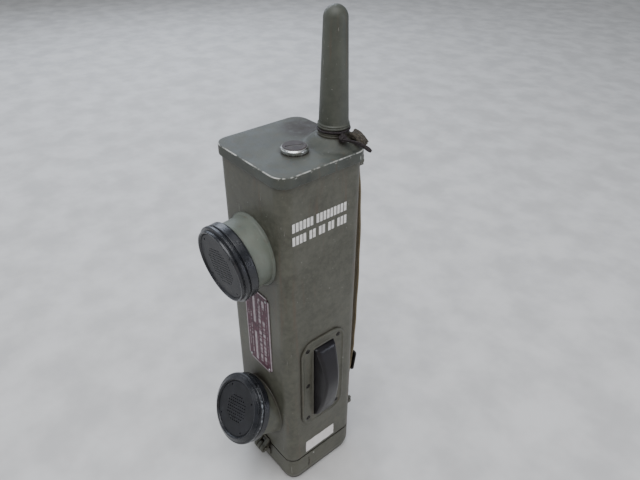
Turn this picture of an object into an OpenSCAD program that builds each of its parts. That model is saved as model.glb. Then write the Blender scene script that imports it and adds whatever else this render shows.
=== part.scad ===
// Hand-held two way radio: a tall square case with a tilted earpiece and mouthpiece on the
// front, a rubber talk button on the right side, a webbing hand strap behind, a hinged battery
// cover underneath and a telescopic aerial under a lift-off cap.
// +Z is up, the front faces -Y, the talk button is on +X, the origin is the middle of the
// battery cover's flat underside.

/* [Case] */
// Width of the case, side to side
case_w = 76; // [70:0.5:80]
// Depth of the case, front to back
case_d = 74; // [68:0.5:78]
// Radius of the case's upright corners
case_r = 10; // [8:0.5:12]
// Wall of the case and of the battery cover
wall = 2; // [1.5:0.1:2.5]
// Height of the top cover's upper face
total_h = 320.7; // [310:0.1:330]
// Height of the battery cover
base_h = 30; // [26:0.5:34]

/* [Top cover] */
// How far the top cover stands out beyond the case on each side
cover_lip = 1.8; // [1.8:0.1:3]
// Height of the top cover's skirt
skirt_h = 8.2; // [6:0.1:12]
// Aerial axis, to the right of the case's middle
aerial_x = 15.5; // [10:0.5:20]
// Aerial axis, behind the case's middle
aerial_y = 26; // [20:0.5:26]
// Screw plug axis, to the right of the case's middle
plug_x = 10.5; // [5:0.5:15]
// Screw plug axis, in front of the case's middle
plug_y = -4.5; // [-10:0.5:0]
// Radius of the screw plug's head
plug_r = 9.7; // [7:0.1:11]

/* [Earpiece and mouthpiece] */
// Rim radius of the earpiece cap
ear_r = 30; // [28:0.5:32]
// Rim radius of the mouthpiece cap
mouth_r = 30; // [27:0.1:31]
// Angle that the earpiece looks down
ear_down = 6; // [0:0.5:10]
// Angle that the mouthpiece looks up
mouth_up = 28.7; // [20:0.1:32]
// Height of the earpiece rim's middle
ear_z = 245.6; // [240:0.1:252]
// Height of the mouthpiece rim's middle
mouth_z = 95.1; // [90:0.1:100]

/* [Talk button] */
// Talk button's middle, in front of the case's middle
talk_y = -1.2; // [-3:0.1:0]
// Height of the talk button's middle
talk_z = 121; // [115:0.5:125]
// Length of the rubber talk button
talk_len = 78; // [70:1:84]
// How far the talk button stands out from its plate
talk_proud = 12.5; // [8:0.5:14]
// Travel of the talk button
talk_travel = 3.5; // [2:0.1:4]

/* [Aerial] */
// Height of the aerial cap's top above the top cover
cap_above = 90.8; // [85:0.1:95]
// Travel of each aerial section
section_travel = 228; // [200:1:230]

/* [Strap] */
// Width of the webbing
strap_w = 32; // [25:1:34]
// Thickness of the webbing
strap_t = 2.2; // [1.5:0.1:3]

/* [Hidden] */
$fn = 72;
eps = 0.01;

olive = [0.33, 0.33, 0.28];
bakelite = [0.12, 0.12, 0.13];
rubber = [0.10, 0.10, 0.10];
bare_metal = [0.72, 0.71, 0.68];
brass = [0.70, 0.56, 0.30];
leather = [0.22, 0.14, 0.10];
phenolic = [0.35, 0.20, 0.12];

// Case and covers
case_top = total_h - 4.7;
cover_t = 2.5;
cover_w = case_w + 2 * cover_lip;
cover_d = case_d + 2 * cover_lip;
cover_gap = 0.3;
half_w = case_w / 2;
half_d = case_d / 2;
parting_gap = 0.3;
foot_inset = 2;
foot_h = 9;
plug_h = 4.3;
plug_chamfer = 1.3;
plug_shank_r = 5;

// Earpiece and mouthpiece: each has its own axis, measured back from its rim
ear_neck_r = 26.8;
ear_spigot_r = 25.4;
ear_bore_r = 22.5;
mouth_neck_r = 25.8;
mouth_spigot_r = 24;
mouth_bore_r = 21.5;
flange_r = 29.5;
flange_t = 2.4;
washer_t = 2;
ear_inset = 4.4;
mouth_inset = 6.6;
cap_depth = 14;
cap_face = 7.5;
ear_y = -65.5;
mouth_y = -66.3;
ear_base_z = ear_z + (-half_d - ear_y) * tan(ear_down);
mouth_base_z = mouth_z - (-half_d - mouth_y) * tan(mouth_up);

// Talk button
plate_t = 1.8;
plate_y = 22.8;
plate_h = 97;
plate_r = 13;
talk_half_y = 10;
boot_clear = 0.4;
boot_wall = 2.4;
boot_top_x = half_w + plate_t + talk_proud;
boot_root_x = half_w - 3.4;
boot_arc_r = (pow(talk_len / 2, 2) + pow(talk_proud, 2)) / (2 * talk_proud);
screw_y = 16;
screw_z = [-40, 0, 40];

// Aerial: heights of its fittings and radii of its sections, outermost first
socket_z = total_h + 6.8;
socket_h = 3;
seal_h = 2.3;
cap_z = socket_z + socket_h + seal_h;
cap_top = total_h + cap_above;
cap_foot_r = 11.3;
cap_low_r = 10.4;
cap_high_r = 8;
cap_wall = 1.2;
tube_r = 5.5;
insulator_r = 8.1;
insulator_clear = 0.1;
section_r = [4.2, 3.4, 2.6, 1.8];
section_wall = 0.55;
section_head = [368, 374, 380, 386];
section_foot = [52, 56, 60, 64];
tip_r = 3.6;

// Hinge of the battery cover, across the front
hinge_y = -half_d - 5.9;
hinge_z = base_h - 5;
knuckle_r = 4.5;
knuckle_l = 3.9;
knuckle_gap = 0.4;
hinge_half = 1.5 * knuckle_l + knuckle_gap;
pin_r = 1.5;
pin_clear = 0.05;

// Catch behind
catch_y = half_d + 4.2;
catch_z = 41;
catch_r = 2.4;

// Strap loops and the line that the webbing hangs on
loop_y = 49;
loop_low_z = 37;
loop_high_z = 301;
loop_bar_r = 2;
strap_line = [[52.15, 37], [51.6, 58], [52.9, 72], [56.4, 96], [58, 120], [58.7, 155], [58.4, 200], [57, 242],
              [54.9, 275], [52.15, 301]];
buckle_z = 84;

// Data plate: edges on the front face and its corner cut
plate_x0 = -14.8;
plate_x1 = 17.3;
plate_z0 = 131;
plate_z1 = 211;
plate_cut = 3.8;

// Inside
chassis_x = 2;
chassis_t = 1.5;
battery_low = 13;
battery_side = 32.5;
long_battery_h = 284;
long_battery_at = [-17.3, 15.7];
round_battery_r = 16;
round_battery_h = 149;
round_battery_at = [-17.3, -17];
spring_r = 8;
leaf_t = 0.6;
valve_at = [21, -22];
valve_r = 9.3;
valve_z = [for (i = [0:4]) 42 + i * 52];

// ---- shared shapes ----

// Rounded rectangle of straight sides and true corner arcs
module rounded_rect(w, d, r) {
    square([w - 2 * r, d], center = true);
    square([w, d - 2 * r], center = true);
    for (sx = [-1, 1], sy = [-1, 1])
        translate([sx * (w / 2 - r), sy * (d / 2 - r)]) circle(r = r);
}

// Upright rounded bar from height z0 to z1
module rounded_bar(w, d, r, z0, z1) {
    translate([0, 0, z0]) linear_extrude(z1 - z0) rounded_rect(w, d, r);
}

// Box given by its lowest and highest corners
module block(low, high) {
    translate(low) cube(high - low);
}

// Round bar along +X, +Y or +Z
module bar_x(x0, x1, y, z, r) {
    translate([x0, y, z]) rotate([0, 90, 0]) cylinder(r = r, h = x1 - x0);
}
module bar_y(y0, y1, x, z, r) {
    translate([x, y0, z]) rotate([-90, 0, 0]) cylinder(r = r, h = y1 - y0);
}
module bar_z(z0, z1, x, y, r) {
    translate([x, y, z0]) cylinder(r = r, h = z1 - z0);
}

// Tube along +Z at the aerial's axis
module aerial_ring(z0, z1, outer, inner) {
    difference() {
        bar_z(z0, z1, aerial_x, aerial_y, outer);
        bar_z(z0 - 1, z1 + 1, aerial_x, aerial_y, inner);
    }
}

// Tube through a list of points, with a radius at each; flat is a direction square to every run
module swept_tube(points, radii, flat, sides = 10) {
    last = len(points) - 1;
    ring = [for (k = [0:sides - 1]) 360 * k / sides];
    corners = [
        for (i = [0:last])
            let (run = points[min(i + 1, last)] - points[max(i - 1, 0)],
                 across = cross(flat, run) / norm(cross(flat, run)),
                 up = cross(run, across) / norm(run))
            for (a = ring) points[i] + radii[i] * (cos(a) * across + sin(a) * up)
    ];
    walls = [
        for (i = [0:last - 1], k = [0:sides - 1])
            let (a = i * sides + k, b = i * sides + (k + 1) % sides)
            for (triangle = [[a, a + sides, b], [b, a + sides, b + sides]]) triangle
    ];
    ends = [[for (k = [0:sides - 1]) k], [for (k = [sides - 1:-1:0]) last * sides + k]];
    polyhedron(corners, concat(walls, ends));
}

// Places children on the earpiece's or mouthpiece's axis, rim at zero, +Z outwards
module on_ear() {
    translate([0, ear_y, ear_z]) rotate([90 + ear_down, 0, 0]) children();
}
module on_mouth() {
    translate([0, mouth_y, mouth_z]) rotate([90 - mouth_up, 0, 0]) children();
}

// ---- case and covers ----

module case_shell() {
    color(olive) difference() {
        rounded_bar(case_w, case_d, case_r, base_h, case_top);
        rounded_bar(case_w - 2 * wall, case_d - 2 * wall, case_r - wall, base_h - 1, case_top + 1);
        for (z = [ear_base_z, mouth_base_z]) bar_y(-half_d - 5, -half_d + 5, 0, z, ear_bore_r);
        block([half_w - 5, talk_y - talk_half_y - 1, talk_z - talk_len / 2 - 2],
              [half_w + 5, talk_y + talk_half_y + 1, talk_z + talk_len / 2 + 2]);
    }
}

// Cast lid: skirt, flat roof and the raised seat of the aerial
module top_cover() {
    color(olive) difference() {
        union() {
            rounded_bar(cover_w, cover_d, case_r + 1, total_h - skirt_h, total_h);
            intersection() {
                translate([aerial_x, aerial_y, total_h - 1])
                    cylinder(r1 = cap_foot_r + 9, r2 = cap_foot_r - 0.3, h = socket_z - total_h + 1);
                rounded_bar(cover_w - 1, cover_d - 1, case_r + 0.5, total_h - 2, socket_z + 1);
            }
        }
        rounded_bar(case_w + 2 * cover_gap, case_d + 2 * cover_gap, case_r + cover_gap,
                    total_h - skirt_h - 1, total_h - cover_t);
        bar_z(total_h - 10, socket_z + 5, aerial_x, aerial_y, insulator_r + insulator_clear);
        bar_z(total_h - 10, total_h + 5, plug_x, plug_y, plug_shank_r + 0.2);
    }
}

module top_gasket() {
    color(rubber) difference() {
        rounded_bar(case_w, case_d, case_r, case_top, total_h - cover_t);
        rounded_bar(case_w - 8, case_d - 8, case_r - 4, case_top - 1, total_h);
        bar_z(case_top - 1, total_h, aerial_x, aerial_y, insulator_r + 0.3);
    }
}

// Slotted plug whose shank draws the chassis up to the lid
module screw_plug() {
    edge_z = total_h + plug_h - plug_chamfer;
    color(bare_metal) difference() {
        union() {
            bar_z(total_h, edge_z, plug_x, plug_y, plug_r);
            translate([plug_x, plug_y, edge_z]) cylinder(r1 = plug_r, r2 = plug_r - 1.4, h = plug_chamfer);
            bar_z(total_h - 13, total_h, plug_x, plug_y, plug_shank_r);
        }
        block([plug_x - 6.5, plug_y - 0.7, total_h + plug_h - 1], [plug_x + 6.5, plug_y + 0.7, total_h + 6]);
    }
}

// Battery cover: a shallow cast tray whose foot tapers in
module bottom_cover() {
    color(olive) difference() {
        union() {
            hull() {
                rounded_bar(case_w - 2 * foot_inset, case_d - 2 * foot_inset, case_r, 0, eps, $fn = 32);
                rounded_bar(case_w, case_d, case_r, foot_h, foot_h + eps, $fn = 32);
            }
            rounded_bar(case_w, case_d, case_r, foot_h, base_h - 1.5);
        }
        rounded_bar(case_w - 2 * wall - 4, case_d - 2 * wall - 4, case_r - wall, 3, foot_h + 1);
        rounded_bar(case_w - 2 * wall, case_d - 2 * wall, case_r - wall, foot_h, base_h);
    }
}

module cover_gasket() {
    color(rubber) difference() {
        rounded_bar(case_w - 2.2, case_d - 2.2, case_r - 1.1, base_h - 1.5, base_h - parting_gap);
        rounded_bar(case_w - 2 * wall, case_d - 2 * wall, case_r - wall, base_h - 2, base_h);
    }
}

// ---- hinge and catch of the battery cover ----

// Slanting strap from a knuckle up to the leaf on the case
module hinge_arm(x) {
    translate([x, 0, 0]) rotate([90, 0, 90]) linear_extrude(knuckle_l) polygon([
        [hinge_y - 2, hinge_z + 3], [hinge_y + 2, hinge_z + 2], [-half_d - 1, base_h + 0.5],
        [-half_d - 1, base_h + 3.5], [-half_d - 1.6, base_h + 3.5],
    ]);
}

module case_hinge_leaf() {
    color(olive) difference() {
        union() {
            block([-hinge_half, -half_d - 1.5, base_h + 0.5], [hinge_half, -half_d, base_h + 5]);
            for (x = [-hinge_half, knuckle_l / 2 + knuckle_gap]) {
                bar_x(x, x + knuckle_l, hinge_y, hinge_z, knuckle_r);
                hinge_arm(x);
            }
        }
        bar_x(-15, 15, hinge_y, hinge_z, pin_r + pin_clear);
        block([-12, -half_d - 0.9, hinge_z - 6], [12, -half_d + 3, base_h + 0.5]);
    }
}

module cover_hinge_leaf() {
    color(olive) difference() {
        union() {
            block([-hinge_half, -half_d - 1.2, foot_h + 3], [hinge_half, -half_d, hinge_z - 4]);
            bar_x(-knuckle_l / 2, knuckle_l / 2, hinge_y, hinge_z, knuckle_r);
            block([-knuckle_l / 2, hinge_y - 0.5, foot_h + 6], [knuckle_l / 2, -half_d, hinge_z - 2.2]);
        }
        bar_x(-5, 5, hinge_y, hinge_z, pin_r + pin_clear);
    }
}

module hinge_pin() {
    color(bare_metal) {
        bar_x(-hinge_half - 0.1, hinge_half + 0.1, hinge_y, hinge_z, pin_r);
        for (x = [-hinge_half - 0.9, hinge_half + 0.1]) bar_x(x, x + 0.8, hinge_y, hinge_z, pin_r + 0.8);
    }
}

module catch_bracket() {
    color(olive) difference() {
        union() {
            block([-10.5, half_d, catch_z - 10], [10.5, half_d + 1.2, catch_z + 4]);
            for (side = [-1, 1])
                block([side * 9.5 - 1, half_d + 1, catch_z - 4], [side * 9.5 + 1, catch_y + 2.6, catch_z + 4]);
        }
        bar_x(-15, 15, catch_y, catch_z, 1.25);
    }
}

// Spring tongue that lies over the cover's rear wall and turns outwards on its own pivot pin
module catch_lever() {
    color(olive) {
        bar_x(-8, 8, catch_y, catch_z, catch_r);
        bar_x(-10.4, 10.4, catch_y, catch_z, 1.2);
        block([-7, catch_y - 1.6, base_h - 14], [7, catch_y - 0.2, catch_z]);
    }
}

module catch_stud() {
    color(bare_metal) {
        bar_y(catch_y - 0.2, catch_y + 2.4, 0, base_h - 8, 2);
        bar_y(catch_y + 2.4, catch_y + 4.4, 0, base_h - 8, 3.2);
    }
}

// ---- earpiece and mouthpiece ----

// Angled cup that stands on the case's front face: first child is its axis tube, second the bore
module housing(base_z) {
    difference() {
        union() {
            children(0);
            bar_y(-half_d - flange_t, -half_d, 0, base_z, flange_r);
        }
        block([-60, -half_d, 0], [60, 100, 400]);
        children(1);
    }
}

// Tube along a cup's own axis with the thinner spigot that its cap screws onto
module neck(neck_r, spigot_r) {
    translate([0, 0, -60]) cylinder(r = neck_r, h = 60 - cap_depth - 0.4);
    translate([0, 0, -60]) cylinder(r = spigot_r, h = 60 - cap_face - washer_t - 0.2);
}

module earpiece_housing() {
    color(olive) housing(ear_base_z) {
        on_ear() neck(ear_neck_r, ear_spigot_r);
        on_ear() translate([0, 0, -70]) cylinder(r = ear_bore_r, h = 80);
    }
}

module mouthpiece_housing() {
    color(olive) housing(mouth_base_z) {
        on_mouth() neck(mouth_neck_r, mouth_spigot_r);
        on_mouth() translate([0, 0, -70]) cylinder(r = mouth_bore_r, h = 80);
    }
}

// Screwed cap turned about its own axis: a shallow face, a thin lip that stands in from the rim by
// the inset, a bead between two grooves and a plain band
module screwed_cap(r, inset) {
    lip = r - inset + 1.6;
    rotate_extrude() polygon([
        [0, -1.4], [r - inset, -1.3], [lip - 0.8, -0.2], [lip, 0],
        [r - 2, -1.8], [r - 2.3, -2.6], [r - 0.5, -3], [r, -3.7], [r, -5.4], [r - 0.6, -6],
        [r - 1.6, -6.5], [r - 0.4, -7.2], [r - 0.4, -cap_depth + 1.4], [r - 1.8, -cap_depth],
        [r - 4.3, -cap_depth], [r - 4.3, -cap_face], [0, -cap_face],
    ]);
}

module earpiece_cap() {
    color(bakelite) on_ear() screwed_cap(ear_r, ear_inset);
}

module mouthpiece_cap() {
    color(bakelite) on_mouth() screwed_cap(mouth_r, mouth_inset);
}

// Round unit with a stepped case and two terminals behind
module sound_element(r) {
    translate([0, 0, -cap_face - 5.2]) cylinder(r = r, h = 4.8);
    translate([0, 0, -cap_face - 14]) cylinder(r = r - 4, h = 8.8);
    for (side = [-1, 1])
        translate([side * 6, 0, -cap_face - 17]) cylinder(r = 1.6, h = 3);
}

module earphone_element() {
    color(bare_metal) on_ear() sound_element(ear_bore_r - 1);
}

module microphone_element() {
    color(bare_metal) on_mouth() sound_element(mouth_bore_r - 1);
}

module washer(outer, inner) {
    difference() {
        translate([0, 0, -cap_face - washer_t - 0.1]) cylinder(r = outer, h = washer_t);
        translate([0, 0, -cap_face - washer_t - 1]) cylinder(r = inner, h = washer_t + 2);
    }
}

module housing_gaskets() {
    color(rubber) {
        on_ear() washer(ear_spigot_r, ear_bore_r);
        on_mouth() washer(mouth_spigot_r, mouth_bore_r);
    }
}

// ---- plates on the case ----

// Etched plate with cut corners, low on the front face between the two cups
module data_plate() {
    color([0.37, 0.16, 0.18]) translate([0, -half_d, 0]) rotate([90, 0, 0]) linear_extrude(0.8)
        polygon([
            [plate_x0 + plate_cut, plate_z0], [plate_x1 - plate_cut, plate_z0],
            [plate_x1, plate_z0 + plate_cut], [plate_x1, plate_z1 - plate_cut],
            [plate_x1 - plate_cut, plate_z1], [plate_x0 + plate_cut, plate_z1],
            [plate_x0, plate_z1 - plate_cut], [plate_x0, plate_z0 + plate_cut],
        ]);
}

module plate_rivets() {
    color(bare_metal) for (x = [plate_x0 + 3.4, plate_x1 - 3.4], z = [plate_z0 + 3.6, plate_z1 - 3.6])
        bar_y(-half_d - 1.5, -half_d - 0.8, x, z, 1.2);
}

module paper_label() {
    color([0.75, 0.71, 0.67]) block([half_w, -19.8, base_h + 3.4], [half_w + 0.3, 13.6, base_h + 17.6]);
}

// ---- talk button ----

// Upright plate on the right wall, drawn about the talk button's middle
module side_plate(y_half, z_half, r, x0, x1) {
    translate([x0, talk_y, talk_z]) rotate([90, 0, 90]) linear_extrude(x1 - x0)
        rounded_rect(2 * y_half, 2 * z_half, r);
}

module talk_plate() {
    color(olive) difference() {
        side_plate(plate_y, plate_h / 2, plate_r, half_w, half_w + plate_t);
        side_plate(talk_half_y + boot_clear, talk_len / 2 + boot_clear, 0.5, half_w - 1, half_w + 4);
        for (side = [-1, 1], dz = screw_z)
            bar_x(half_w - 1, half_w + 4, talk_y + side * screw_y, talk_z + dz, 1.3);
    }
}

module talk_plate_screws() {
    color(bare_metal) for (side = [-1, 1], dz = screw_z) {
        y = talk_y + side * screw_y;
        bar_x(half_w, half_w + plate_t, y, talk_z + dz, 1.25);
        difference() {
            bar_x(half_w + plate_t, half_w + plate_t + 1.2, y, talk_z + dz, 2.6);
            block([half_w + plate_t + 0.6, y - 3, talk_z + dz - 0.35],
                  [half_w + plate_t + 2, y + 3, talk_z + dz + 0.35]);
        }
    }
}

// Rubber rim of the button, held behind the case wall
module boot_flange() {
    color(rubber) difference() {
        side_plate(talk_half_y + 5, talk_len / 2 + 5, 5, half_w - wall - 1.4, half_w - wall);
        side_plate(talk_half_y + boot_clear, talk_len / 2 + boot_clear, 0.5, half_w - 6, half_w);
    }
}

// Flat-sided arc of rubber, hollow behind
module boot_segment(inset) {
    intersection() {
        translate([boot_top_x - boot_arc_r, talk_y, talk_z]) rotate([90, 0, 0])
            cylinder(r = boot_arc_r - inset, h = 2 * (talk_half_y - inset), center = true, $fn = 180);
        block([boot_root_x - inset, talk_y - talk_half_y, talk_z - talk_len / 2 + inset],
              [boot_top_x + 1, talk_y + talk_half_y, talk_z + talk_len / 2 - inset]);
    }
}

module talk_boot() {
    color(rubber) difference() {
        boot_segment(0);
        boot_segment(boot_wall);
    }
}

// Metal bar that the button presses on, with the foot that works the switch
module talk_plunger() {
    color(bare_metal) {
        block([half_w + 4, talk_y - 5, talk_z - 19], [half_w + 7, talk_y + 5, talk_z + 19]);
        block([half_w - 9, talk_y - 3, talk_z - 6], [half_w + 4, talk_y + 3, talk_z + 6]);
    }
}

module talk_switch() {
    color(phenolic) {
        block([chassis_x + chassis_t, -9, talk_z - 26], [24, 9, talk_z + 26]);
        for (dz = [-20:8:20]) block([24, 4, talk_z + dz - 1], [25, 7, talk_z + dz + 1]);
    }
}

module switch_slider() {
    color(brass) {
        block([10, -11.5, talk_z - 18], [20, -9.4, talk_z + 14]);
        block([13, -13.2, talk_z - 2], [17, -11.5, talk_z + 6]);
    }
}

// ---- aerial ----

module aerial_socket() {
    color(olive) aerial_ring(socket_z, socket_z + socket_h, cap_foot_r, insulator_r + insulator_clear);
}

module socket_seal() {
    color(rubber) aerial_ring(socket_z + socket_h, cap_z - 0.2, cap_foot_r - 1.4, insulator_r + insulator_clear);
}

module aerial_insulator() {
    color([0.45, 0.30, 0.16]) aerial_ring(total_h - 8, cap_z - 0.2, insulator_r, tube_r + 0.02);
}

module aerial_outer_tube() {
    color(bare_metal) {
        aerial_ring(section_foot[0] - 6, cap_z - 0.2, tube_r, section_r[0] + 0.08);
        bar_z(section_foot[0] - 8, section_foot[0] - 6, aerial_x, aerial_y, tube_r + 1);
    }
}

// One hollow section with a rolled head
module aerial_section(i) {
    color(bare_metal) {
        aerial_ring(section_foot[i], section_head[i], section_r[i], section_r[i + 1] + 0.08);
        aerial_ring(section_head[i], section_head[i] + 2.5, section_r[i] + 0.5, section_r[i + 1] + 0.08);
    }
}

module aerial_section_1() { aerial_section(0); }
module aerial_section_2() { aerial_section(1); }
module aerial_section_3() { aerial_section(2); }

module aerial_tip_rod() {
    color(bare_metal) {
        bar_z(section_foot[3], section_head[3] + 5, aerial_x, aerial_y, section_r[3]);
        bar_z(section_head[3] + 1, section_head[3] + 6, aerial_x, aerial_y, tip_r);
        translate([aerial_x, aerial_y, section_head[3] + 6]) sphere(r = tip_r);
    }
}

// Lift-off cap: a tapered tube with a round top and a rolled foot
module aerial_cap() {
    dome_z = cap_top - cap_high_r;
    taper_z = cap_z + 3;
    color(olive) difference() {
        union() {
            bar_z(cap_z, taper_z, aerial_x, aerial_y, cap_foot_r);
            translate([aerial_x, aerial_y, taper_z]) cylinder(r1 = cap_low_r, r2 = cap_high_r, h = dome_z - taper_z);
            translate([aerial_x, aerial_y, dome_z]) sphere(r = cap_high_r);
        }
        bar_z(cap_z - 1, taper_z, aerial_x, aerial_y, cap_low_r - cap_wall);
        translate([aerial_x, aerial_y, taper_z - eps])
            cylinder(r1 = cap_low_r - cap_wall, r2 = cap_high_r - cap_wall, h = dome_z - taper_z + 2 * eps);
        translate([aerial_x, aerial_y, dome_z]) sphere(r = cap_high_r - cap_wall);
    }
}

// Leather tie round the groove under the cap, with a knot and a tail that overhangs to the right
module cap_thong() {
    ring_z = socket_z + socket_h;
    knot = [aerial_x + cap_foot_r + 3.2, aerial_y - 4.5, ring_z - 1.6];
    tail = [[-3.2, 2, 2.4], [-1.8, 0.6, 1], [0, 0, 0], [1.8, 0.6, -0.6], [3, 1.2, -0.8], [8, 3.2, -1],
            [13, 5.4, -2], [17, 7, -3.6], [19.4, 7.9, -5]];
    color(leather) {
        aerial_ring(ring_z + 0.1, cap_z - 0.3, cap_foot_r + 0.6, cap_foot_r - 1.35);
        swept_tube([for (p = tail) knot + p], [0.7, 1.9, 2.7, 1.9, 1.5, 1.9, 1.8, 1.6, 1], [0, 0, 1]);
    }
}

// Stub of webbing lying behind the tie
module thong_tab() {
    color([0.40, 0.42, 0.30]) hull() {
        translate([aerial_x + 12.8, aerial_y + 4, total_h + 7.4]) cube([1, 8, 1.6]);
        translate([aerial_x + 23, aerial_y + 4, total_h + 1.2]) cube([1, 8.5, 1.6]);
    }
}

module power_switch() {
    color(phenolic) difference() {
        block([22.4, 20.5, total_h - 38], [33, 32.5, total_h - 18]);
        block([22.4 - eps, 23, total_h - 39], [25.6, 29.8, total_h - 17]);
    }
}

module power_slider() {
    color(brass) block([22.7, 23.4, total_h - 34], [25.2, 29.4, total_h - 28]);
}

// ---- strap ----

// Two riveted ears and a cross bar that the webbing passes round
module strap_loop(z) {
    color(olive) {
        for (side = [-1, 1]) {
            block([side * 17 - 5, half_d, z - 6], [side * 17 + 5, half_d + 1.4, z + 6]);
            block([side * 20 - 1.2, half_d + 1.4 - eps, z - 4], [side * 20 + 1.2, loop_y + 2.6, z + 4]);
        }
        bar_x(-22.4, 22.4, loop_y, z, loop_bar_r);
    }
}

module strap_loop_top() { strap_loop(loop_high_z); }
module strap_loop_bottom() { strap_loop(loop_low_z); }

// Points of a smooth line through a list of points (Catmull-Rom), with steps to a span
function span_point(a, b, c, d, t) = 0.5 * (2 * b + (c - a) * t + (2 * a - 5 * b + 4 * c - d) * t * t
    + (3 * b - a - 3 * c + d) * t * t * t);
function smooth_line(p, steps) = [
    for (i = [0:len(p) - 2], s = [0:steps - 1])
        span_point(p[max(i - 1, 0)], p[i], p[i + 1], p[min(i + 2, len(p) - 1)], s / steps),
    p[len(p) - 1]
];

// Webbing: one long run between the loops, closed round each cross bar
module strap_webbing() {
    line = smooth_line(strap_line, 4);
    outer = [for (p = line) [p[0] + strap_t / 2, p[1]]];
    inner = [for (i = [len(line) - 1:-1:0]) [line[i][0] - strap_t / 2, line[i][1]]];
    color([0.45, 0.40, 0.30]) translate([-strap_w / 2, 0, 0]) rotate([90, 0, 90]) linear_extrude(strap_w) {
        polygon(concat(outer, inner));
        for (z = [loop_low_z, loop_high_z]) difference() {
            translate([loop_y, z]) circle(r = loop_bar_r + strap_t - 0.2);
            translate([loop_y, z]) circle(r = loop_bar_r + 0.05);
        }
    }
}

// Frame buckle on the outside of the webbing
module strap_buckle() {
    low = strap_line[2];
    high = strap_line[3];
    tilt = atan((high[0] - low[0]) / (high[1] - low[1]));
    y0 = strap_t / 2 + 0.5;
    half = strap_w / 2 + 2;
    color(bakelite) translate([0, (low[0] + high[0]) / 2, buckle_z]) rotate([-tilt, 0, 0]) difference() {
        block([-half, y0, -11], [half, y0 + 2.2, 11]);
        for (z = [-9, 1.4]) block([-half + 1.6, y0 - 1, z], [half - 1.6, y0 + 4, z + 7.6]);
    }
}

// ---- inside ----

module chassis_plate() {
    color(bare_metal) difference() {
        block([chassis_x, -33, base_h + 6], [chassis_x + chassis_t, 33, total_h - 15]);
        for (z = [60:40:280]) bar_x(0, 6, 28, z, 2);
    }
}

module chassis_top_plate() {
    color(bare_metal) difference() {
        rounded_bar(case_w - 2 * wall - 1, case_d - 2 * wall - 1, case_r - wall, total_h - 15, total_h - 13);
        bar_z(total_h - 20, total_h, aerial_x, aerial_y, tube_r + 1);
    }
}

module valve_sockets() {
    color(phenolic) for (z = valve_z) {
        bar_z(z, z + 4.5, valve_at[0], valve_at[1], 8.4);
        block([chassis_x + chassis_t, valve_at[1] - 6, z], [valve_at[0] - 6, valve_at[1] + 6, z + 1.6]);
    }
}

// Five glass valves standing on their sockets
module valves() {
    color([0.75, 0.80, 0.82, 0.6]) for (z = valve_z) translate([valve_at[0], valve_at[1], z + 4.5]) {
        cylinder(r = valve_r, h = 33);
        translate([0, 0, 33]) cylinder(r1 = valve_r, r2 = 2.2, h = 6);
        translate([0, 0, 39]) cylinder(r1 = 1.6, r2 = 0.6, h = 3);
    }
}

module crystals() {
    color(bakelite) for (z = [232, 256]) {
        block([chassis_x + chassis_t, -8, z], [15, 15, z + 19]);
        for (y = [-2, 9]) bar_x(15, 19, y, z + 9.5, 1.4);
    }
}

module coil_formers() {
    color([0.75, 0.45, 0.25]) for (z = [152, 190]) difference() {
        union() {
            bar_z(z, z + 34, 12.5, 3, 5.5);
            for (turn = [0:6]) bar_z(z + 6 + turn * 3.2, z + 8 + turn * 3.2, 12.5, 3, 6.3);
        }
        bar_z(z - 1, z + 35, 12.5, 3, 3.8);
    }
}

module if_transformers() {
    color([0.75, 0.75, 0.74]) for (z = [164, 202]) {
        translate([27, 3, 0]) rounded_bar(13, 16, 2, z, z + 34);
        bar_z(z + 34, z + 36, 27, 3, 2.4);
    }
}

module audio_transformers() {
    color([0.25, 0.25, 0.27]) for (z = [42, 67]) {
        block([chassis_x + chassis_t, -8, z], [24, 12, z + 21]);
        block([8, -10, z + 4], [20, 14, z + 17]);
    }
}

module small_components() {
    color([0.60, 0.40, 0.22]) for (i = [0:8]) {
        bar_x(chassis_x + chassis_t, chassis_x + chassis_t + 13, 14, 98 + i * 6, 2);
        bar_x(chassis_x + chassis_t, chassis_x + chassis_t + 5, 20, 98 + i * 6, 1.6);
    }
}

// Sleeved leads from the earphone and the microphone to the chassis
module audio_leads() {
    ear_lead = [[6, -38, 247], [6, -33, 246.5], [6, -22, 244], [6, -14, 240], [6, -12, 228]];
    mouth_lead = [[6, -43, 82], [6, -33, 84], [6, -22, 88], [6, -15, 92], [6, -14, 100]];
    color([0.12, 0.12, 0.12]) for (points = [ear_lead, mouth_lead])
        swept_tube(points, [for (p = points) 1.1], [1, 0, 0]);
}

module long_battery() {
    color([0.30, 0.28, 0.20]) translate([long_battery_at[0], long_battery_at[1], 0])
        rounded_bar(battery_side, battery_side, 2, battery_low, battery_low + long_battery_h);
}

module round_battery() {
    color([0.30, 0.28, 0.20]) translate([round_battery_at[0], round_battery_at[1], battery_low]) {
        cylinder(r = round_battery_r, h = round_battery_h);
        translate([0, 0, round_battery_h]) cylinder(r = 4, h = 3);
    }
}

// Two insulating boards above the batteries, and the contacts of the long one
module battery_contact_board() {
    round_top = battery_low + round_battery_h + 3.4;
    long_top = battery_low + long_battery_h + 3;
    color(phenolic) {
        block([-33, -32, round_top], [chassis_x - 0.4, -2, round_top + 2.4]);
        block([-33, 0, long_top], [chassis_x - 0.4, 32, long_top + 2.4]);
        for (side = [-1, 1])
            bar_z(long_top - 2.6, long_top, long_battery_at[0] + side * 7, long_battery_at[1], 2.4);
    }
}

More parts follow.
